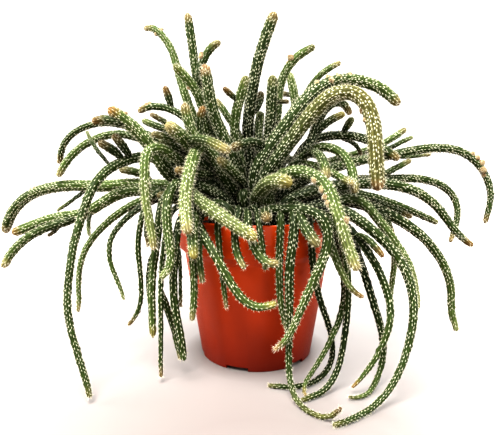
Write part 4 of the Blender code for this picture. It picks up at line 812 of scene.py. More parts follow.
def makePot():
    wall = pot["wall"]
    height = pot["height"]
    collarFoot = height - pot["collarHeight"]
    wallTop = collarFoot - pot["collarSlope"]
    floor = potLook["floor"]
    lift = potLook["floorLift"]
    innerFoot = lift + floor
    foot = pot["footRadius"]
    top = pot["wallTopRadius"]
    collar = pot["collarRadius"]
    lip = potLook["lip"]
    pad = potLook["padRadius"]
    padEdge = pad + potLook["padSlope"]
    edge = potLook["footEdge"] * wall

    def wallRadius(z):
        return foot + (top - foot) * z / wallTop

    profile = [
        (0.0, 0.0), (pad, 0.0), (padEdge, lift), (foot - potLook["ringTopWidth"] * wall, lift),
        (foot - potLook["ringFootWidth"] * wall, 0.0), (foot - edge, 0.0), (wallRadius(edge), edge),
        (top, wallTop), (collar, collarFoot), (collar, height - lip), (collar - lip, height),
        (collar - wall, height - 0.5 * lip), (collar - wall, collarFoot), (top - wall, wallTop),
        (wallRadius(innerFoot) - wall, innerFoot), (padEdge, innerFoot), (pad, floor), (0.0, floor),
    ]
    mesh = meshFrom(turned(rounded(profile), potLook["segments"]), "nursery_pot_fine")
    body = objectOf("nursery_pot_fine", mesh, potMaterial())
    cutters = bpy.data.collections.new("potCutters")
    part = 2 * math.pi / potLook["slots"]
    for k in range(potLook["slots"]):
        for azimuth, kind in ((potLook["slotAzimuth"] + part * k, "slot"),
                              (potLook["slotAzimuth"] + part * (k + 0.5), "drain")):
            bm = holeCutter(kind)
            bmesh.ops.rotate(bm, verts=bm.verts, cent=(0, 0, 0), matrix=Matrix.Rotation(azimuth, 3, "Z"))
            cutters.objects.link(bpy.data.objects.new(kind, meshFrom(bm, kind, False)))
    cut = body.modifiers.new("holes", "BOOLEAN")
    cut.operand_type = "COLLECTION"
    cut.collection = cutters
    cut.solver = "EXACT"
    bakeModifiers(body)
    for obj in list(cutters.objects):
        bpy.data.objects.remove(obj, do_unlink=True)
    bpy.data.collections.remove(cutters)
    body.data.polygons.foreach_set("use_smooth", [True] * len(body.data.polygons))
    body.data.set_sharp_from_angle(angle=potLook["sharpAngle"])
    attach(body, "root")
    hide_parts("nursery_pot")


makePot()
print("pot made")


soilLook = {
    "dark": (0.010, 0.007, 0.005),
    "pale": (0.060, 0.040, 0.026),
    "scales": (160.0, 1100.0),
    "roughness": 0.95,
    "gloss": 0.1,
    "bump": (0.6, 0.0006),
    "rings": 22,
    "segments": 72,
    "padShrink": 1.5,
    "wallShrink": 1.2,
    "lumps": ((0.0011, 130.0), (0.0006, 420.0)),
    "crumbSize": 0.0011,
    "crumbDensity": 90000.0,
    "crumbUpward": 0.6,
    "crumbLeast": (0.35, 0.35, 0.25),
    "crumbMost": (1.2, 0.9, 0.7),
    "crumbTurn": (6.28, 6.28, 6.28),
    "seed": 5,
}


def soilMaterial():
    look, tree, shader = newMaterial("pottingMix")
    patches, grain = placeMottle(tree, *soilLook["scales"])
    colour = mixColour(tree, mathNode(tree, "MULTIPLY", patches, grain), soilLook["dark"], soilLook["pale"])
    tree.links.new(colour, shader.inputs["Base Color"])
    shader.inputs["Roughness"].default_value = soilLook["roughness"]
    shader.inputs["Specular IOR Level"].default_value = soilLook["gloss"]
    addBump(tree, shader, grain, *soilLook["bump"])
    return look


def crumbTree():
    # Crumbs of peat and bark over the upper side of the soil
    tree = bpy.data.node_groups.new("crumbs", "GeometryNodeTree")
    face = tree.interface
    for name, kind in (("Geometry", "Geometry"), ("Crumb Size", "Float"), ("Density", "Float"),
                       ("Seed", "Int"), ("Soil Material", "Material")):
        face.new_socket(name, in_out="INPUT", socket_type="NodeSocket" + kind)
    face.new_socket("Geometry", in_out="OUTPUT", socket_type="NodeSocketGeometry")
    source = tree.nodes.new("NodeGroupInput").outputs
    sink = tree.nodes.new("NodeGroupOutput")
    normal = tree.nodes.new("GeometryNodeInputNormal").outputs[0]
    upward = addNode(tree, "ShaderNodeSeparateXYZ", Vector=normal).outputs["Z"]
    onTop = addNode(tree, "FunctionNodeCompare", {"operation": "GREATER_THAN"},
                    A=upward, B=soilLook["crumbUpward"]).outputs[0]
    spots = addNode(tree, "GeometryNodeDistributePointsOnFaces", Mesh=source["Geometry"],
                    Selection=onTop, Density=source["Density"], Seed=source["Seed"])
    crumb = addNode(tree, "GeometryNodeMeshIcoSphere", Radius=source["Crumb Size"], Subdivisions=1)
    squeeze = randomVector(tree, source["Seed"], soilLook["crumbLeast"], soilLook["crumbMost"])
    angles = randomVector(tree, 0, (0.0, 0.0, 0.0), soilLook["crumbTurn"])
    rotation = addNode(tree, "FunctionNodeEulerToRotation", Euler=angles).outputs[0]
    crumbs = addNode(tree, "GeometryNodeInstanceOnPoints", Points=spots.outputs["Points"],
                     Instance=crumb.outputs["Mesh"], Rotation=rotation, Scale=squeeze)
    real = addNode(tree, "GeometryNodeRealizeInstances", Geometry=crumbs.outputs["Instances"])
    both = tree.nodes.new("GeometryNodeJoinGeometry")
    tree.links.new(real.outputs[0], both.inputs[0])
    tree.links.new(source["Geometry"], both.inputs[0])
    done = addNode(tree, "GeometryNodeSetMaterial", Geometry=both.outputs[0],
                   Material=source["Soil Material"])
    tree.links.new(done.outputs[0], sink.inputs["Geometry"])
    return tree


def runTree(obj, tree, values):
    # Runs the tree on the object with these inputs by name, and keeps the plain mesh that it gives
    modifier = obj.modifiers.new(tree.name, "NODES")
    modifier.node_group = tree
    for item in tree.interface.items_tree:
        if item.item_type == "SOCKET" and item.in_out == "INPUT" and item.name in values:
            modifier[item.identifier] = values[item.name]
    bakeModifiers(obj)


def makeSoil():
    collarFoot = pot["height"] - pot["collarHeight"]
    wallTop = collarFoot - pot["collarSlope"]
    base = potLook["floorLift"] + potLook["floor"] + clearance
    pad = potLook["padRadius"] - soilLook["padShrink"] * clearance
    shrink = pot["wall"] + soilLook["wallShrink"] * clearance
    slope = (pot["wallTopRadius"] - pot["footRadius"]) / wallTop
    edge = pot["collarRadius"] - shrink
    profile = [
        (0.0, potLook["floor"] + clearance), (pad, potLook["floor"] + clearance),
        (pad + potLook["padSlope"], base), (pot["footRadius"] + slope * base - shrink, base),
        (pot["wallTopRadius"] - shrink, wallTop + clearance), (edge, collarFoot + clearance),
    ]
    profile += [(edge * k / soilLook["rings"], soil["top"]) for k in range(soilLook["rings"], -1, -1)]
    bm = turned(profile, soilLook["segments"])
    for vert in bm.verts:
        if vert.co.z > soil["top"] - clearance:
            spot = Vector(vert.co)
            vert.co.z += sum(height * noise.noise(spot * scale) for height, scale in soilLook["lumps"])
    look = soilMaterial()
    bed = objectOf("potting_soil_fine", meshFrom(bm, "potting_soil_fine"), look)
    runTree(bed, crumbTree(), {
        "Crumb Size": soilLook["crumbSize"], "Density": soilLook["crumbDensity"], "Seed": soilLook["seed"],
        "Soil Material": look})
    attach(bed, "root")
    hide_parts("potting_soil")


makeSoil()
print("soil made")


def seenAt(pixel, depth, clear):
    # The point on a pixel's sight line at this depth behind the pot's axis, or where it meets the floor
    right = (pixel[0] - photoView["centrePx"][0]) / photoView["focalPx"]
    up = (photoView["centrePx"][1] - pixel[1]) / photoView["focalPx"]
    c = math.cos(photoView["pitch"])
    s = math.sin(photoView["pitch"])
    rise = (up * c - s) / (c + up * s)
    ahead = depth - photoView["eye"][1]
    if rise * ahead < clear - photoView["eye"][2]:
        ahead = (clear - photoView["eye"][2]) / rise
    away = ahead * c - rise * ahead * s
    return photoView["eye"] + np.array((right * away, ahead, rise * ahead))


def beforePot(pixel, depth, clear):
    # The same, but brought forward where the pot's front would hide it
    place = seenAt(pixel, depth, clear)
    for _ in range(settle["potTries"]):
        free = potRadius(place[2] + clear) + clear + settle["stemGap"]
        if place[2] > pot["height"] + clear or math.hypot(place[0], place[1]) > free:
            break
        front = seenAt(pixel, -math.sqrt(free ** 2 - place[0] ** 2) - settle["stemGap"], clear)
        if front[2] > pot["height"]:
            break
        place = front
    return place


def runAlong(points):
    # The way from the first point to each one, along the straight lines between them
    return np.concatenate([[0.0], np.cumsum(np.sqrt(((points[1:] - points[:-1]) ** 2).sum(axis=1)))])


def smoothCurve(points, step):
    # Points this far apart along a Catmull-Rom curve through the given ones
    points = np.asarray(points)
    ends = np.vstack([2 * points[0] - points[1], points, 2 * points[-1] - points[-2]])
    fine = []
    for a, b, c, d in zip(ends, ends[1:], ends[2:], ends[3:]):
        for t in np.arange(settle["curveParts"]) / settle["curveParts"]:
            fine.append(0.5 * (2 * b + (c - a) * t + (2 * a - 5 * b + 4 * c - d) * t ** 2
                               + (3 * b - a - 3 * c + d) * t ** 3))
    fine.append(points[-1])
    fine = np.array(fine)
    run = runAlong(fine)
    count = max(3, int(round(run[-1] / step)) + 1)
    at = np.linspace(0.0, run[-1], count)
    return np.stack([np.interp(at, run, fine[:, k]) for k in range(3)], axis=1)


def spread(values, count):
    # The values at equal steps from first to last, read at this many places
    return np.interp(np.linspace(0.0, 1.0, count), np.linspace(0.0, 1.0, len(values)), values)


def backPlaces(name):
    # The places of a stem at the back, and of its side stem, from its azimuth, reach and heights
    azimuth, reach, crest, tip = backStems[name]
    bothStems = []
    sideStem = (backRules["sideTurn"], backRules["sideShare"], backRules["sideLift"])
    for turn, share, lift in ((0, 1.0, 0), sideStem):
        angle = math.radians(azimuth + turn)
        out = reach * share
        heights = (backRules["start"] + backRules["startLift"] * lift, crest + lift,
                   crest - backRules["dip"] + lift, 0.5 * (crest + tip) + lift,
                   tip + backRules["tipLift"] * lift)
        bends = [(part * out, height) for part, height in zip(backRules["bendShares"], heights)]
        bothStems.append([millimetre * np.array((far * math.cos(angle), far * math.sin(angle), height))
                          for far, height in bends])
    return bothStems


class Route:
    # One stem's centre line and its radius out to the barbs, while the stems are moved clear

    def __init__(self, name, node, foot, places, widths):
        self.name = name
        self.node = node
        self.foot = foot
        self.places = list(places)
        self.widths = widths
        self.root = None

    def settleStart(self, routes):
        places = self.places
        if self.foot is None:
            first = places[0]
            low = np.array((self.root[0], self.root[1], soil["top"] - soil["rootDepth"]))
            collar = np.array((self.root[0], self.root[1], soil["top"] + soil["rootCollar"]))
            lean = 0.5 * (collar + first)
            lean[:2] = (1 - soil["rootLean"]) * self.root + soil["rootLean"] * first[:2]
            places = [low, collar, lean] + places
            self.points = smoothCurve(places, settle["routeStep"])
        else:
            parent = routes[self.foot].points
            self.joint = int(((parent - places[0]) ** 2).sum(axis=1).argmin())
            self.points = smoothCurve([parent[self.joint]] + places[1:], settle["routeStep"])
        held = soil["rootPoints"] if self.foot is None else 1
        for _ in range(settle["startRounds"]):
            middle = 0.5 * (self.points[:-2] + self.points[2:]) - self.points[1:-1]
            self.points[held:-1] += settle["startEven"] * middle[held - 1:]
        self.radius = settle["barbShare"] * millimetre * spread(self.widths, len(self.points))
        self.held = held
        self.run = runAlong(self.points)


def drawRoutes():
    # Every stem's centre line, as the photograph or the rule for the back places it
    routes = {}
    for name, stem in stems.items():
        depths = spread(stem.depths, len(stem.pixels))
        widths = spread(stem.widths, len(stem.pixels))
        places = [beforePot(pixel, depth * millimetre, 0.5 * width * millimetre + clearance)
                  for pixel, depth, width in zip(stem.pixels, depths, widths)]
        node = name if stem.foot is None else routes[stem.foot].node
        routes[name] = Route(name, node, stem.foot, places, stem.widths)
    for name in backStems:
        main, side = backPlaces(name)
        routes[name] = Route(name, name, None, main, backRules["widths"])
        routes[name + "_side"] = Route(name + "_side", name, name, side, backRules["widths"])
    placeRoots(routes)
    for route in routes.values():
        route.settleStart(routes)
    return routes


def placeRoots(routes):
    # Each stem stands in the soil below the side that it leaves by, clear of the other stems there
    rooted = [route for route in routes.values() if route.foot is None]
    wide = np.array([0.5 * millimetre * route.widths[0] for route in rooted])
    spots = np.array([soil["rootInwards"] * route.places[0][:2] for route in rooted])
    for _ in range(soil["rootRounds"]):
        apart = spots[:, None] - spots[None, :]
        far = np.sqrt((apart ** 2).sum(axis=2)) + np.eye(len(spots))
        short = wide[:, None] + wide[None, :] + soil["rootSpacing"] - far
        short[far > 1.0 - tiny] = 0.0
        push = np.where(short > 0, short, 0.0)[:, :, None] * apart / far[:, :, None]
        spots = spots + soil["rootPush"] * push.sum(axis=1)
        out = np.sqrt((spots ** 2).sum(axis=1))
        spots = spots * np.minimum(1.0, (soil["rootReach"] - wide) / out)[:, None]
    for route, spot in zip(rooted, spots):
        route.root = spot


def nearJoint(a, b, runA, runB):
    # Whether these places are by the joint where one stem grows from the other, or both from a third
    if b.foot == a.name:
        return (runB < settle["jointReach"]) & (np.abs(runA - a.run[b.joint]) < settle["jointReachAlong"])
    if a.foot == b.name:
        return (runA < settle["jointReach"]) & (np.abs(runB - b.run[a.joint]) < settle["jointReachAlong"])
    if a.foot is not None and a.foot == b.foot:
        return (runA < settle["jointReachAlong"]) & (runB < settle["jointReachAlong"])
    return np.zeros(np.broadcast(runA, runB).shape, bool)


def closePairs(listed, starts, reach):
    # Places of different stems that lie closer than their radii and this reach
    first = []
    second = []
    for i, a in enumerate(listed):
        for k in range(i + 1, len(listed)):
            b = listed[k]
            margin = a.radius.max() + b.radius.max() + reach
            if (a.points.min(axis=0) - margin > b.points.max(axis=0)).any():
                continue
            if (b.points.min(axis=0) - margin > a.points.max(axis=0)).any():
                continue
            apart = a.points[:, None] - b.points[None, :]
            near = (apart ** 2).sum(axis=2) < (a.radius[:, None] + b.radius[None, :] + reach) ** 2
            near &= ~nearJoint(a, b, a.run[:, None], b.run[None, :])
            rows, columns = np.nonzero(near)
            first.append(rows + starts[i])
            second.append(columns + starts[k])
    return np.concatenate(first), np.concatenate(second)


def sidesOfPairs(first, second, owner, along):
    # 1 for each close pair whose first stem passes behind the second one there, and -1 where before it
    new = np.ones(len(first), bool)
    new[1:] = (owner[first[1:]] != owner[first[:-1]]) | (owner[second[1:]] != owner[second[:-1]])
    new[1:] |= first[1:] - first[:-1] > settle["pairBreak"]
    group = np.cumsum(new) - 1
    total = np.bincount(group, weights=along)
    return np.where(total[group] > 0, 1.0, -1.0)


def potRadius(height):
    # The outer radius of the pot at these heights
    collarFoot = pot["height"] - pot["collarHeight"]
    heights = (0.0, collarFoot - pot["collarSlope"], collarFoot)
    return np.interp(height, heights, (pot["footRadius"], pot["wallTopRadius"], pot["collarRadius"]))


def wallSides(route):
    # 0 for places inside the pot's wall, 1 for the few where the stem first crosses it, and 2 after them
    out = np.sqrt((route.points[:, :2] ** 2).sum(axis=1)) - (pot["collarRadius"] - 0.5 * pot["wall"])
    sides = np.full(len(out), 2 if out[0] >= 0 else 0)
    if out[0] < 0 and (out >= 0).any():
        at = int(np.argmax(out >= 0))
        sides[max(at - 1, 0):] = 1
        sides[at + 2:] = 2
    return sides


def potAndFloorPush(points, radius, sides):
    # How far each place has to move to stay off the floor and the soil, and out of the pot's wall
    push = np.zeros_like(points)
    out = np.sqrt((points[:, :2] ** 2).sum(axis=1)) + tiny
    away = points[:, :2] / out[:, None]
    clear = radius + settle["stemGap"]
    push[:, 2] += np.maximum(clear - points[:, 2], 0.0)
    below = points[:, 2] < pot["height"] + clear
    inner = pot["collarRadius"] - pot["wall"] - clear
    outer = potRadius(points[:, 2] + clear) + clear + pot["rimClearance"]
    radial = np.where((sides == 0) & below, np.minimum(inner - out, 0.0), 0.0)
    radial += np.where((sides == 2) & below, np.clip(outer - out, 0.0, settle["mostPush"]), 0.0)
    push[:, :2] += radial[:, None] * away
    lowest = np.where(sides == 0, soil["top"] + soil["relief"], pot["height"] + pot["rimClearance"]) + clear
    push[:, 2] += np.where(sides < 2, np.maximum(lowest - points[:, 2], 0.0), 0.0)
    return push


def moveClear(routes):
    # Moves the stems apart where they touch, mostly along the line of sight, and keeps them smooth
    listed = list(routes.values())
    starts = np.concatenate([[0], np.cumsum([len(route.points) for route in listed])])
    base = np.concatenate([route.points for route in listed])
    radius = np.concatenate([route.radius for route in listed])
    wallSide = np.concatenate([wallSides(route) for route in listed])
    owner = np.repeat(np.arange(len(listed)), starts[1:] - starts[:-1])
    fixed = np.zeros(len(base), bool)
    inner = np.ones(len(base), bool)
    for route, start, end in zip(listed, starts, starts[1:]):
        fixed[start:start + route.held] = True
        inner[start] = False
        inner[end - 1] = False
    sight = base - photoView["eye"]
    sight /= np.sqrt((sight ** 2).sum(axis=1))[:, None]
    shift = np.zeros_like(base)
    for turn in range(settle["settleRounds"]):
        points = base + shift
        ended = turn / settle["settleRounds"]
        direct = settle["directPushFirst"] + (settle["directPushLast"] - settle["directPushFirst"]) * ended
        even = settle["evenFirst"] + (settle["evenLast"] - settle["evenFirst"]) * ended
        if turn % settle["nearEvery"] == 0:
            for route, start, end in zip(listed, starts, starts[1:]):
                route.points = points[start:end]
            first, second = closePairs(listed, starts, settle["nearReach"])
            along = ((points[first] - points[second]) * sight[first]).sum(axis=1)
            behind = sidesOfPairs(first, second, owner, along)
        apart = points[first] - points[second]
        farSquare = (apart ** 2).sum(axis=1) + settle["leastSquare"]
        far = np.sqrt(farSquare)
        wanted = radius[first] + radius[second] + settle["stemGap"]
        short = np.maximum(wanted - far, 0.0)
        along = (apart * sight[first]).sum(axis=1)
        asideSquare = farSquare - along ** 2
        needed = np.sqrt(np.maximum(wanted ** 2 - asideSquare, 0.0)) - behind * along
        slide = np.where(asideSquare < wanted ** 2, np.clip(needed, 0.0, settle["mostPush"]), 0.0)
        push = settle["sightPush"] * (behind * slide)[:, None] * sight[first]
        push += direct * (short / far)[:, None] * apart
        total = np.zeros_like(points)
        count = np.ones(len(points))
        touching = (slide > 0).astype(float)
        np.add.at(total, first, push)
        np.add.at(total, second, -push)
        np.add.at(count, first, touching)
        np.add.at(count, second, touching)
        shift += total / np.sqrt(count)[:, None]
        shift += potAndFloorPush(base + shift, radius, wallSide) * (~fixed)[:, None]
        lap = np.zeros_like(shift)
        lap[1:-1] = 0.5 * (shift[:-2] + shift[2:]) - shift[1:-1]
        shift += even * lap * inner[:, None]
        seenShift = shift - (shift * sight).sum(axis=1)[:, None] * sight
        shift -= settle["homePull"] * max(0.0, 1.0 - settle["homeFade"] * ended) * seenShift
        shift[fixed] = 0.0
        for index, route in enumerate(listed):
            if route.foot is not None:
                shift[starts[index]] = shift[starts[listed.index(routes[route.foot])] + route.joint]
    points = base + shift
    points += potAndFloorPush(points, radius, wallSide) * (~fixed)[:, None]
    for route, start, end in zip(listed, starts, starts[1:]):
        route.points = points[start:end]


routes = drawRoutes()
moveClear(routes)
print("centre lines drawn:", len(routes))


stemLook = {
    "ringStep": ((0.0024, 0.0036), (0.0017, 0.0014)),
    "lineStep": 0.0008,
    "crestShare": 0.56,
    "fuller": {"right_great_arch": 1.10, "right_pink_arch": 1.12},
    "ribsByWidth": ((0.0042, 5), (0.0054, 6), (0.0064, 7), (0.0078, 9), (1.0, 10)),
    "ribDepth": 0.075,
    "knob": 0.07,
    "capRings": 4,
    "capLeast": 0.06,
    "jointShare": 0.55,
    "jointReach": 0.010,
    "tipReach": 0.009,
    "tipPower": 0.8,
    "tipTaper": 0.22,
    "taperReach": 0.010,
    "taperPower": 1.5,
    "nearFloor": 0.03,
    "floorDrop": 0.0012,
    "floorGap": 0.0002,
    "leastRadius": 0.0015,
    "missing": 0.10,
    "valleyShare": 0.5,
    "valleyRadii": (0.0020, 0.0042),
    "areoleLeast": 0.66,
    "valleySmaller": 0.12,
    "stray": 0.00035,
    "bristles": 3,
    "bristleLength": 0.0017,
    "bristleVaries": (0.55, 1.15),
    "bristleWidth": 0.00011,
    "bristleSpread": 0.9,
    "bristleLean": 0.75,
    "bristleLowest": 0.0001,
    "oldFuzz": 0.4,
    "tipFuzz": 0.35,
    # Towards each stem's foot, deep in the crown, the skin and bristles are darkened with painted shade, and
    # the bristles grow shorter
    "ageAndShadeReach": 0.115,
    "paintedBaseShade": 0.90,
    "sideAgeAndShade": 0.4,
    "seed": 11,
    "lengthSeed": 7.0,
}

palette = {
    "dark": (0.010, 0.017, 0.003),
    "green": (0.043, 0.068, 0.015),
    "fresh": (0.112, 0.160, 0.042),
    "pale": (0.260, 0.290, 0.110),
    "yellow": (0.440, 0.370, 0.115),
    "olive": (0.150, 0.140, 0.042),
    "tan": (0.320, 0.220, 0.095),
    "orange": (0.380, 0.200, 0.065),
    "pink": (0.420, 0.250, 0.125),
    "brown": (0.140, 0.070, 0.025),
    "cream": (0.410, 0.335, 0.155),
}

# The skin from foot to tip, then the tone of the last few millimetres, and how long the bristles are
stemTones = {
    "top_tall": (("dark", "dark", "green"), "tan", 1.2),
    "top_middle": (("dark", "green", "fresh"), "olive", 1.1),
    "top_middle_side_1": (("green", "fresh"), "orange", 1.0),
    "top_blunt": (("dark", "dark", "green"), "olive", 1.1),
    "top_pink": (("dark", "green", "green"), "pink", 1.3),
    "top_lean": (("dark", "green", "fresh"), "olive", 1.0),
    "top_short": (("green", "fresh"), "tan", 1.1),
    "top_short_side": (("green", "green"), "orange", 1.0),
    "top_left": (("green", "fresh"), "tan", 1.1),
    "top_left_side": (("green", "fresh"), "olive", 1.0),
    "top_far_side_1": (("green", "green"), "orange", 1.0),
    "right_great_arch": (("dark", "green", "green", "fresh"), "tan", 1.2),
    "right_pink_arch": (("dark", "green", "olive", "olive"), "pink", 1.4),
    "right_dark_arch": (("dark", "dark", "green"), "tan", 1.0),
    "right_dark_side": (("dark", "green", "olive"), "yellow", 1.0),
    "right_level": (("dark", "dark", "green"), "tan", 1.0),
    "right_fuzzy_arch": (("dark", "green", "fresh"), "cream", 1.3),
    "right_fuzzy_side_1": (("green", "fresh"), "cream", 1.3),
    "right_fuzzy_side_2": (("green", "fresh"), "cream", 1.2),
    "right_orange_tip": (("green", "green"), "orange", 1.0),
    "right_far_arch": (("green", "green"), "tan", 1.1),
    "right_slant": (("green", "green"), "olive", 1.0),
    "right_wide_drop": (("green", "dark", "green", "fresh"), "pale", 0.9),
    "right_floor_trail": (("green", "green", "green", "green"), "olive", 0.9),
    "right_floor_side": (("green", "fresh", "fresh", "pale"), "pale", 1.0),
    "right_curl": (("green", "dark", "green", "fresh"), "orange", 0.8),
    "right_curl_side_1": (("green", "dark", "green", "fresh"), "olive", 0.8),
    "right_curl_side_2": (("green", "fresh"), "orange", 0.9),
    "right_loop": (("green", "fresh", "dark", "green"), "olive", 0.8),
    "right_loop_side": (("green", "green", "fresh"), "tan", 0.8),
    "right_gold": (("fresh", "fresh", "pale"), "orange", 0.9),
    "front_cross": (("green", "green", "fresh"), "pink", 1.0),
    "front_cross_side_1": (("green", "fresh"), "cream", 1.1),
    "front_trail": (("green", "green", "green", "olive"), "brown", 0.8),
    "front_ring": (("green", "green", "dark", "green"), "olive", 0.8),
    "front_shoulder": (("green", "fresh", "fresh", "pale"), "cream", 1.3),
    "front_yellow": (("green", "fresh", "pale"), "yellow", 1.4),
    "front_plumb": (("green", "fresh"), "tan", 0.9),
    "front_plumb_side": (("dark", "green", "fresh"), "cream", 1.0),
    "front_hook": (("green", "green", "fresh"), "cream", 1.1),
    "front_swing": (("green", "green", "fresh"), "yellow", 1.0),
    "front_stub": (("dark", "green", "green"), "fresh", 1.0),
    "front_up_left": (("dark", "dark", "green", "fresh"), "cream", 1.3),
    "front_up_side_1": (("green", "fresh", "yellow"), "cream", 1.3),
    "front_up_side_6": (("dark", "green", "fresh"), "cream", 1.2),
    "hang_hook_side": (("fresh", "pale"), "yellow", 1.3),
    "hang_pale": (("dark", "green", "fresh", "pale"), "cream", 1.4),
    "hang_fuzzy": (("green", "green", "fresh", "pale"), "cream", 1.3),
    "hang_hook": (("dark", "green", "fresh"), "pale", 1.0),
    "hang_yellow": (("green", "green", "fresh"), "yellow", 1.0),
    "hang_rim": (("green", "green", "fresh"), "cream", 1.0),
    "hang_rim_side": (("green", "fresh"), "yellow", 1.1),
    "hang_inner": (("green", "green", "green"), "fresh", 0.9),
    "left_high": (("green", "green", "fresh"), "orange", 1.1),
    "left_high_side": (("green", "fresh"), "orange", 1.1),
    "left_long_drop": (("green", "green", "green"), "olive", 0.9),
    "left_long_side_1": (("green", "green"), "tan", 1.1),
    "left_long_side_2": (("green", "green"), "tan", 1.1),
    "left_reach": (("green", "fresh", "green"), "tan", 1.1),
    "left_low_reach": (("green", "fresh"), "orange", 1.0),
}
plainTones = (
    (("green", "fresh"), "cream", 1.0),
    (("dark", "green", "fresh"), "pale", 1.0),
    (("dark", "green", "green"), "tan", 1.0),
)


skinLook = {
    "scales": (240.0, 1500.0),
    "patchDepth": 0.45,
    "patchLeast": 0.72,
    # Painted shade at the bottom of the grooves between the ribs: its colour and its share
    "valleyShade": (0.006, 0.010, 0.002),
    "valleyShare": 0.62,
    "fleckNarrow": 2.1,
    "woolGrain": (0.8, 1.1),
    "woolWhenOldAndShaded": 0.4,
    "woolReach": (0.19, 0.40),
    "woolMost": 0.95,
    "wool": (0.76, 0.76, 0.56),
    "areoleReach": (0.2, 0.8),
    "roughness": (0.48, 0.9),
    "gloss": 0.12,
    "bump": (0.25, 0.0003),
}

bristleLook = {
    "scales": (300.0, 2500.0),
    "dull": (0.70, 0.62, 0.44),
    "cream": (0.92, 0.88, 0.74),
    "skinShare": (0.12, 0.85),
    "roughness": (0.5, 0.65),
    "gloss": 0.2,
}


def skinMaterial():
    # Green skin with pale woolly areoles, painted shade darkening it between the ribs, and less wool towards
    # each stem's foot, which adds to the painted shade there
    look, tree, shader = newMaterial("cactusSkin")
    areole = meshValue(tree, "areole")
    crest = meshValue(tree, "crest")
    patches, grain = placeMottle(tree, *skinLook["scales"])
    spotted = mathNode(tree, "MULTIPLY", patches, skinLook["patchDepth"])
    shade = mathNode(tree, "ADD", spotted, skinLook["patchLeast"])
    worn = vectorMath(tree, "SCALE", meshValue(tree, "skinColour", "Color"), scale=shade)
    # Painted shade between the ribs
    inValley = ramp(tree, crest, 0.0, 1.0, skinLook["valleyShare"], 0.0)
    green = mixColour(tree, inValley, worn, skinLook["valleyShade"])
    between = mathNode(tree, "MINIMUM", crest, mathNode(tree, "SUBTRACT", 1.0, crest))
    aside = mathNode(tree, "MULTIPLY", between, skinLook["fleckNarrow"])
    fleck = mathNode(tree, "SUBTRACT", areole, aside)
    woolly = mathNode(tree, "MULTIPLY", fleck, ramp(tree, grain, 0.0, 1.0, *skinLook["woolGrain"]))
    # Less wool towards a stem's foot, part of the painted shade there
    thinned = ramp(tree, meshValue(tree, "ageAndShade"), 0.0, 1.0, 1.0, skinLook["woolWhenOldAndShaded"])
    woolly = ramp(tree, woolly, *skinLook["woolReach"], 0.0, skinLook["woolMost"])
    woolShare = mathNode(tree, "MULTIPLY", woolly, thinned)
    tree.links.new(mixColour(tree, woolShare, green, skinLook["wool"]), shader.inputs["Base Color"])
    rough = ramp(tree, areole, *skinLook["areoleReach"], *skinLook["roughness"])
    tree.links.new(rough, shader.inputs["Roughness"])
    shader.inputs["Specular IOR Level"].default_value = skinLook["gloss"]
    addBump(tree, shader, grain, *skinLook["bump"])
    return look


def bristleMaterial():
    # Stiff cream hairs that take a little of the skin's colour, and more of it towards a stem's foot, where
    # this darkens them as painted shade
    look, tree, shader = newMaterial("bristle")
    patches, grain = placeMottle(tree, *bristleLook["scales"])
    cream = mixColour(tree, patches, bristleLook["dull"], bristleLook["cream"])
    # Painted shade: near a stem's foot the hairs take the darkened skin colour
    share = ramp(tree, meshValue(tree, "ageAndShade"), 0.0, 1.0, *bristleLook["skinShare"])
    tone = meshValue(tree, "skinColour", "Color")
    tree.links.new(mixColour(tree, share, cream, tone), shader.inputs["Base Color"])
    grainFinish(tree, shader, grain, bristleLook)
    return look


def budMaterial():
    look, tree, shader = newMaterial("flowerBud")
    patches, grain = placeMottle(tree, *budLook["scales"])
    fur = mixColour(tree, patches, budLook["dark"], budLook["pale"])
    tree.links.new(fur, shader.inputs["Base Color"])
    grainFinish(tree, shader, grain, budLook)
    return look


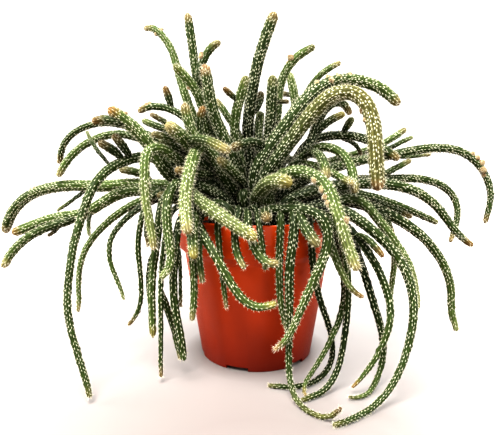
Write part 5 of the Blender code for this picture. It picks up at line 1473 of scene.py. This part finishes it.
def ribbedStemTree():
    # Sweeps a ribbed ring along each centre line, raises the areoles and sets bristles on them
    tree = bpy.data.node_groups.new("ribbedStem", "GeometryNodeTree")
    face = tree.interface
    for name, kind in (("Geometry", "Geometry"), ("Ribs", "Int"), ("Rib Depth", "Float"), ("Knob", "Float"),
                       ("Missing", "Float"), ("Valley Share", "Float"), ("Stray", "Float"),
                       ("Bristles", "Int"), ("Bristle Length", "Float"), ("Bristle Width", "Float"),
                       ("Spread", "Float"), ("Lean", "Float"), ("Seed", "Int"),
                       ("Skin", "Material"), ("Bristle", "Material")):
        face.new_socket(name, in_out="INPUT", socket_type="NodeSocket" + kind)
    face.new_socket("Geometry", in_out="OUTPUT", socket_type="NodeSocketGeometry")
    source = tree.nodes.new("NodeGroupInput").outputs
    sink = tree.nodes.new("NodeGroupOutput")
    index = tree.nodes.new("GeometryNodeInputIndex").outputs[0]

    # The ring: two corners a rib, the crests on the even ones
    sides = mathNode(tree, "MULTIPLY", source["Ribs"], 2.0)
    circle = addNode(tree, "GeometryNodeCurvePrimitiveCircle", Resolution=sides, Radius=1.0).outputs["Curve"]
    odd = mathNode(tree, "MODULO", index, 2.0)
    inwards = mathNode(tree, "SUBTRACT", 1.0, mathNode(tree, "MULTIPLY", odd, source["Rib Depth"]))
    place = tree.nodes.new("GeometryNodeInputPosition").outputs[0]
    ring = addNode(tree, "GeometryNodeSetPosition", Geometry=circle,
                   Position=vectorMath(tree, "SCALE", place, scale=inwards)).outputs[0]
    ring = storedOn(tree, ring, "INT", "corner", index)

    # The skin, swept along the lines
    line = addNode(tree, "GeometryNodeMeshToCurve", Mesh=source["Geometry"]).outputs[0]
    tangent = tree.nodes.new("GeometryNodeInputTangent").outputs[0]
    line = storedOn(tree, line, "FLOAT_VECTOR", "onward", tangent)
    stemRadius = attributeOf(tree, "stemRadius", "FLOAT")
    skin = tree.nodes.new("GeometryNodeCurveToMesh")
    tree.links.new(line, skin.inputs["Curve"])
    tree.links.new(ring, skin.inputs["Profile Curve"])
    tree.links.new(stemRadius, skin.inputs["Scale"])
    skin.inputs["Fill Caps"].default_value = True
    skin = skin.outputs[0]

    # Where an areole sits, and how big it is: a number from 0, for none, to 1
    corner = attributeOf(tree, "corner", "INT")
    ringNumber = attributeOf(tree, "ring", "INT")
    onCrest = mathNode(tree, "SUBTRACT", 1.0, mathNode(tree, "MODULO", corner, 2.0))
    rib = mathNode(tree, "FLOOR", mathNode(tree, "DIVIDE", mathNode(tree, "ADD", corner, 1.0), 2.0))
    turn = mathNode(tree, "MODULO", mathNode(tree, "ADD", ringNumber, rib), 2.0)
    isTuft = mathNode(tree, "MULTIPLY", mathNode(tree, "LESS_THAN", turn, 0.5),
                      mathNode(tree, "GREATER_THAN", ringNumber, 0.5))
    luck = randomNumber(tree, source["Seed"], 0.0, 1.0)
    thick = ramp(tree, stemRadius, *stemLook["valleyRadii"])
    bare = mathNode(tree, "SUBTRACT", 1.0, mathNode(tree, "MULTIPLY", source["Valley Share"], thick))
    inValley = mathNode(tree, "SUBTRACT", 1.0, onCrest)
    missing = mathNode(tree, "MAXIMUM", source["Missing"], mathNode(tree, "MULTIPLY", inValley, bare))
    kept = mathNode(tree, "GREATER_THAN", luck, missing)
    uneven = ramp(tree, luck, 0.0, 1.0, stemLook["areoleLeast"], 1.0)
    less = mathNode(tree, "MULTIPLY", inValley, stemLook["valleySmaller"])
    smaller = mathNode(tree, "SUBTRACT", uneven, less)
    size = mathNode(tree, "MULTIPLY", isTuft, mathNode(tree, "MULTIPLY", kept, smaller))
    for name, value in (("crest", onCrest), ("areole", size)):
        skin = storedOn(tree, skin, "FLOAT", name, value)

    # The knobs on the ribs, each a little off its even place
    areole = attributeOf(tree, "areole", "FLOAT")
    normal = tree.nodes.new("GeometryNodeInputNormal").outputs[0]
    knob = mathNode(tree, "MULTIPLY", source["Knob"], mathNode(tree, "MULTIPLY", areole, onCrest))
    rise = mathNode(tree, "MULTIPLY", knob, stemRadius)
    jitter = randomVector(tree, source["Seed"], (-1.0, -1.0, -1.0), (1.0, 1.0, 1.0))
    stray = vectorMath(tree, "SCALE", jitter, scale=source["Stray"])
    offset = vectorMath(tree, "ADD", vectorMath(tree, "SCALE", normal, scale=rise), stray)
    offset = vectorMath(tree, "SCALE", offset, scale=mathNode(tree, "GREATER_THAN", areole, 0.5))
    skin = addNode(tree, "GeometryNodeSetPosition", Geometry=skin, Offset=offset).outputs[0]
    skin = storedOn(tree, skin, "FLOAT_VECTOR", "outward", normal)
    skinDone = addNode(tree, "GeometryNodeSetShadeSmooth", Geometry=skin).outputs[0]
    skinDone = addNode(tree, "GeometryNodeSetMaterial", Geometry=skinDone, Material=source["Skin"]).outputs[0]

    # The bristles, a bunch of thin three-sided needles on each areole
    chosen = addNode(tree, "FunctionNodeCompare", {"operation": "GREATER_THAN"}, A=areole, B=0.5).outputs[0]
    spots = addNode(tree, "GeometryNodeMeshToPoints", Mesh=skin, Selection=chosen).outputs[0]
    spots = addNode(tree, "GeometryNodeDuplicateElements", {"domain": "POINT"}, Geometry=spots,
                    Amount=source["Bristles"]).outputs[0]
    scatter = randomVector(tree, source["Seed"], (-1.0, -1.0, -1.0), (1.0, 1.0, 1.0))
    aside = vectorMath(tree, "SCALE", scatter, scale=source["Spread"])
    forward = vectorMath(tree, "SCALE", attributeOf(tree, "onward", "FLOAT_VECTOR"), scale=source["Lean"])
    outward = attributeOf(tree, "outward", "FLOAT_VECTOR")
    way = vectorMath(tree, "ADD", vectorMath(tree, "ADD", outward, aside), forward)
    aligned = addNode(tree, "FunctionNodeAlignRotationToVector", {"axis": "Z"}, Vector=way).outputs[0]
    lengthSeed = mathNode(tree, "ADD", source["Seed"], stemLook["lengthSeed"])
    varied = randomNumber(tree, lengthSeed, *stemLook["bristleVaries"])
    length = mathNode(tree, "MULTIPLY", varied, attributeOf(tree, "fuzz", "FLOAT"))
    scale = addNode(tree, "ShaderNodeCombineXYZ", X=1.0, Y=1.0, Z=length).outputs[0]
    needle = addNode(tree, "GeometryNodeMeshCone", {"fill_type": "NGON"}, Vertices=3, Radius_Top=0.0,
                     Radius_Bottom=source["Bristle Width"], Depth=source["Bristle Length"])
    needles = addNode(tree, "GeometryNodeInstanceOnPoints", Points=spots, Instance=needle.outputs["Mesh"],
                      Rotation=aligned, Scale=scale).outputs[0]
    needles = addNode(tree, "GeometryNodeRealizeInstances", Geometry=needles).outputs[0]
    place = tree.nodes.new("GeometryNodeInputPosition").outputs[0]
    parts = addNode(tree, "ShaderNodeSeparateXYZ", Vector=place).outputs
    height = mathNode(tree, "MAXIMUM", parts[2], stemLook["bristleLowest"])
    clear = addNode(tree, "ShaderNodeCombineXYZ", X=parts[0], Y=parts[1], Z=height).outputs[0]
    needles = addNode(tree, "GeometryNodeSetPosition", Geometry=needles, Position=clear).outputs[0]
    needles = addNode(tree, "GeometryNodeSetMaterial", Geometry=needles,
                      Material=source["Bristle"]).outputs[0]
    both = tree.nodes.new("GeometryNodeJoinGeometry")
    tree.links.new(needles, both.inputs[0])
    tree.links.new(skinDone, both.inputs[0])
    tree.links.new(both.outputs[0], sink.inputs["Geometry"])
    return tree


def tonesOf(name, number, share, left):
    # The skin colour at each ring, from its share of the length and what is left to the tip
    tones, tip, fuzz = stemTones.get(name, plainTones[number % len(plainTones)])
    steps = np.linspace(0, 1, len(tones))
    body = np.stack([np.interp(share, steps, [palette[tone][k] for tone in tones]) for k in range(3)], axis=1)
    near = np.clip(1 - left / stemLook["tipReach"], 0, 1)[:, None] ** stemLook["tipPower"]
    return body + near * (np.array(palette[tip]) - body), fuzz


def ringsOf(route, number):
    # Ring centres along the stem, closer in its rounded tip, with their radius, number, colour and growth,
    # and how near each lies to the stem's foot, where the colour is darkened with painted shade
    fine = smoothCurve(route.points, stemLook["lineStep"])
    run = runAlong(fine)
    length = run[-1]
    full = np.interp(run / length, np.linspace(0, 1, len(route.radius)), route.radius)
    full *= stemLook["crestShare"] / settle["barbShare"] * stemLook["fuller"].get(route.name, 1.0)
    dome = full[-1]
    count = max(4, int(round((length - dome) / np.interp(full.max(), *stemLook["ringStep"]))))
    at = np.concatenate([
        np.linspace(0.0, length - dome, count + 1),
        length - dome + dome * np.sin(np.linspace(0, math.pi / 2, stemLook["capRings"] + 1)[1:])])
    radius = np.interp(at, run, full)
    left = np.clip((length - at) / dome, 0.0, 1.0)
    radius *= np.maximum(np.sqrt(1.0 - (1.0 - left) ** 2), stemLook["capLeast"])
    nearTip = np.clip(1 - (length - at) / stemLook["taperReach"], 0, 1)
    radius *= 1 - stemLook["tipTaper"] * nearTip ** stemLook["taperPower"]
    if route.foot is not None:
        grown = at / stemLook["jointReach"]
        radius *= np.clip(stemLook["jointShare"] + (1 - stemLook["jointShare"]) * grown, 0, 1)
    places = np.stack([np.interp(at, run, fine[:, k]) for k in range(3)], axis=1)
    low = radius.clip(min=stemLook["leastRadius"]) * (1 + stemLook["knob"])
    onFloor = np.maximum(places[:, 2] - stemLook["floorDrop"], low + stemLook["floorGap"])
    places[:, 2] = np.where(places[:, 2] > stemLook["nearFloor"], places[:, 2], onFloor)
    numbers = np.arange(len(at))
    numbers[:2] = 0
    numbers[-2:] = 0
    colours, fuzz = tonesOf(route.name, number, at / length, length - at)
    # Painted shade: the colour darkens towards each stem's foot, where the crown is deep; the same share
    # shortens the bristles
    start = 0.0 if route.foot is None else stemLook["sideAgeAndShade"] * stemLook["ageAndShadeReach"]
    ageAndShade = np.clip(1 - (at + start) / stemLook["ageAndShadeReach"], 0, 1)
    colours = colours * (1 - stemLook["paintedBaseShade"] * ageAndShade[:, None])
    young = np.clip(1 - (length - at) / stemLook["tipReach"], 0, 1)
    growth = fuzz * (1 - stemLook["oldFuzz"] * ageAndShade) * (1 + stemLook["tipFuzz"] * young)
    return places, radius, numbers, colours, growth, ageAndShade


def centreLineMesh(name, group):
    # One polyline for each stem of the group, with its rings' values as attributes
    lines = [ringsOf(route, number) for number, route in group]
    places, radius, numbers, colours, growth, ageAndShade = (np.concatenate(column) for column in zip(*lines))
    edges = []
    first = 0
    for line in lines:
        edges += [(first + k, first + k + 1) for k in range(len(line[0]) - 1)]
        first += len(line[0])
    mesh = bpy.data.meshes.new(name)
    mesh.from_pydata(places.tolist(), edges, [])
    colours = np.hstack([colours, np.ones((len(colours), 1))]).ravel()
    for key, kind, field, values in (
            ("stemRadius", "FLOAT", "value", radius), ("ring", "INT", "value", numbers),
            ("skinColour", "FLOAT_COLOR", "color", colours), ("fuzz", "FLOAT", "value", growth),
            ("ageAndShade", "FLOAT", "value", ageAndShade)):
        values = values.astype(np.int32 if kind == "INT" else np.float32)
        mesh.attributes.new(key, kind, "POINT").data.foreach_set(field, values)
    return mesh


budLook = {
    "dark": (0.15, 0.09, 0.04),
    "pale": (0.46, 0.37, 0.21),
    "scales": (420.0, 1800.0),
    "roughness": (0.45, 0.6),
    "gloss": 0.15,
    "bump": (0.3, 0.0003),
    "segments": 14,
    "rings": 9,
    "stemShare": 0.58,
    "standShare": 0.35,
    "narrowing": 0.22,
    "stretch": 1.12,
    "hair": 0.0011,
    "hairWidth": 0.00009,
    "hairNoise": 900.0,
    "hairLean": 0.45,
    "hairEven": 0.7,
    "hairUneven": 0.3,
    "hairBeat": 7.0,
    "hairSunk": 0.1,
}


def budMesh(bud, route):
    # A round bud, its root sunk in the stem at the place nearest to its pixel's sight line
    sight = seenAt(bud.pixel, 0.0, 0.0) - photoView["eye"]
    sight = sight / math.sqrt((sight ** 2).sum())
    along = ((route.points - photoView["eye"]) * sight).sum(axis=1)
    apart = photoView["eye"] + along[:, None] * sight - route.points
    far = np.sqrt((apart ** 2).sum(axis=1))
    at = int(far.argmin())
    radius = bud.radius * millimetre
    stand = budLook["stemShare"] * route.radius[at] + budLook["standShare"] * radius
    aside = min(far[at], stand)
    forward = math.sqrt(max(stand ** 2 - aside ** 2, 0.0))
    centre = route.points[at] + apart[at] * (aside / max(far[at], tiny)) - sight * forward
    out = Vector(centre - route.points[at]).normalized()
    bm = bmesh.new()
    bmesh.ops.create_uvsphere(bm, u_segments=budLook["segments"], v_segments=budLook["rings"], radius=radius)
    for vert in bm.verts:
        narrow = 1.0 - budLook["narrowing"] * max(vert.co.z / radius, 0.0)
        vert.co.x *= narrow
        vert.co.y *= narrow
        vert.co.z *= budLook["stretch"]
    turn = out.to_track_quat("Z", "Y").to_matrix().to_4x4()
    bmesh.ops.transform(bm, matrix=Matrix.Translation(Vector(centre)) @ turn, verts=bm.verts)
    return bm


def addNeedles(bm, slot):
    # Short hairs all over a bud, each a closed three-sided needle
    spots = [(vert.co.copy(), vert.normal.copy()) for vert in bm.verts]
    for number, (root, out) in enumerate(spots):
        aside = out.orthogonal().normalized()
        lean = noise.noise_vector(root * budLook["hairNoise"]) * budLook["hairLean"]
        share = budLook["hairEven"] + budLook["hairUneven"] * math.sin(budLook["hairBeat"] * number)
        tip = root + (out + lean).normalized() * budLook["hair"] * share
        base = []
        for k in range(3):
            turn = Matrix.Rotation(2 * math.pi * k / 3, 3, out)
            corner = turn @ aside * budLook["hairWidth"]
            base.append(bm.verts.new(root - budLook["hairSunk"] * budLook["hair"] * out + corner))
        top = bm.verts.new(tip)
        bm.faces.new((base[2], base[1], base[0])).material_index = slot
        for k in range(3):
            bm.faces.new((base[k], base[(k + 1) % 3], top)).material_index = slot


def addBuds(obj, names, look, hair):
    # Puts the buds of these stems in the piece's mesh, with their own material and the bristles' one
    mine = [bud for bud in buds if bud.stem in names]
    if not mine:
        return
    obj.data.materials.append(look)
    slot = len(obj.data.materials) - 1
    hairSlot = list(obj.data.materials).index(hair)
    bm = bmesh.new()
    bm.from_mesh(obj.data)
    for bud in mine:
        one = budMesh(bud, routes[bud.stem])
        part = bpy.data.meshes.new("bud")
        for item in one.faces:
            item.material_index = slot
            item.smooth = True
        bmesh.ops.recalc_face_normals(one, faces=one.faces)
        one.normal_update()
        addNeedles(one, hairSlot)
        one.to_mesh(part)
        one.free()
        bm.from_mesh(part)
        bpy.data.meshes.remove(part)
    bm.to_mesh(obj.data)
    bm.free()


def makeStems():
    tree = ribbedStemTree()
    skin = skinMaterial()
    bristle = bristleMaterial()
    budSkin = budMaterial()
    triangles = 0
    for number, (name, route) in enumerate(routes.items()):
        if route.foot is not None:
            continue
        group = [(k, other) for k, other in enumerate(routes.values()) if other.node == name]
        obj = objectOf("stem_" + name + "_fine", centreLineMesh(name, group))
        widest = max(2 * other.radius.max() for _, other in group)
        runTree(obj, tree, {
            "Ribs": next(count for limit, count in stemLook["ribsByWidth"] if widest < limit),
            "Rib Depth": stemLook["ribDepth"], "Knob": stemLook["knob"], "Missing": stemLook["missing"],
            "Valley Share": stemLook["valleyShare"], "Stray": stemLook["stray"],
            "Bristles": stemLook["bristles"], "Bristle Length": stemLook["bristleLength"],
            "Bristle Width": stemLook["bristleWidth"],
            "Spread": stemLook["bristleSpread"], "Lean": stemLook["bristleLean"],
            "Seed": stemLook["seed"] + number, "Skin": skin, "Bristle": bristle})
        addBuds(obj, [other.name for _, other in group], budSkin, bristle)
        triangles += sum(len(face.vertices) - 2 for face in obj.data.polygons)
        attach(obj, "root")
        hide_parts("stem_" + name)
    print("stems made:", triangles, "triangles")


makeStems()
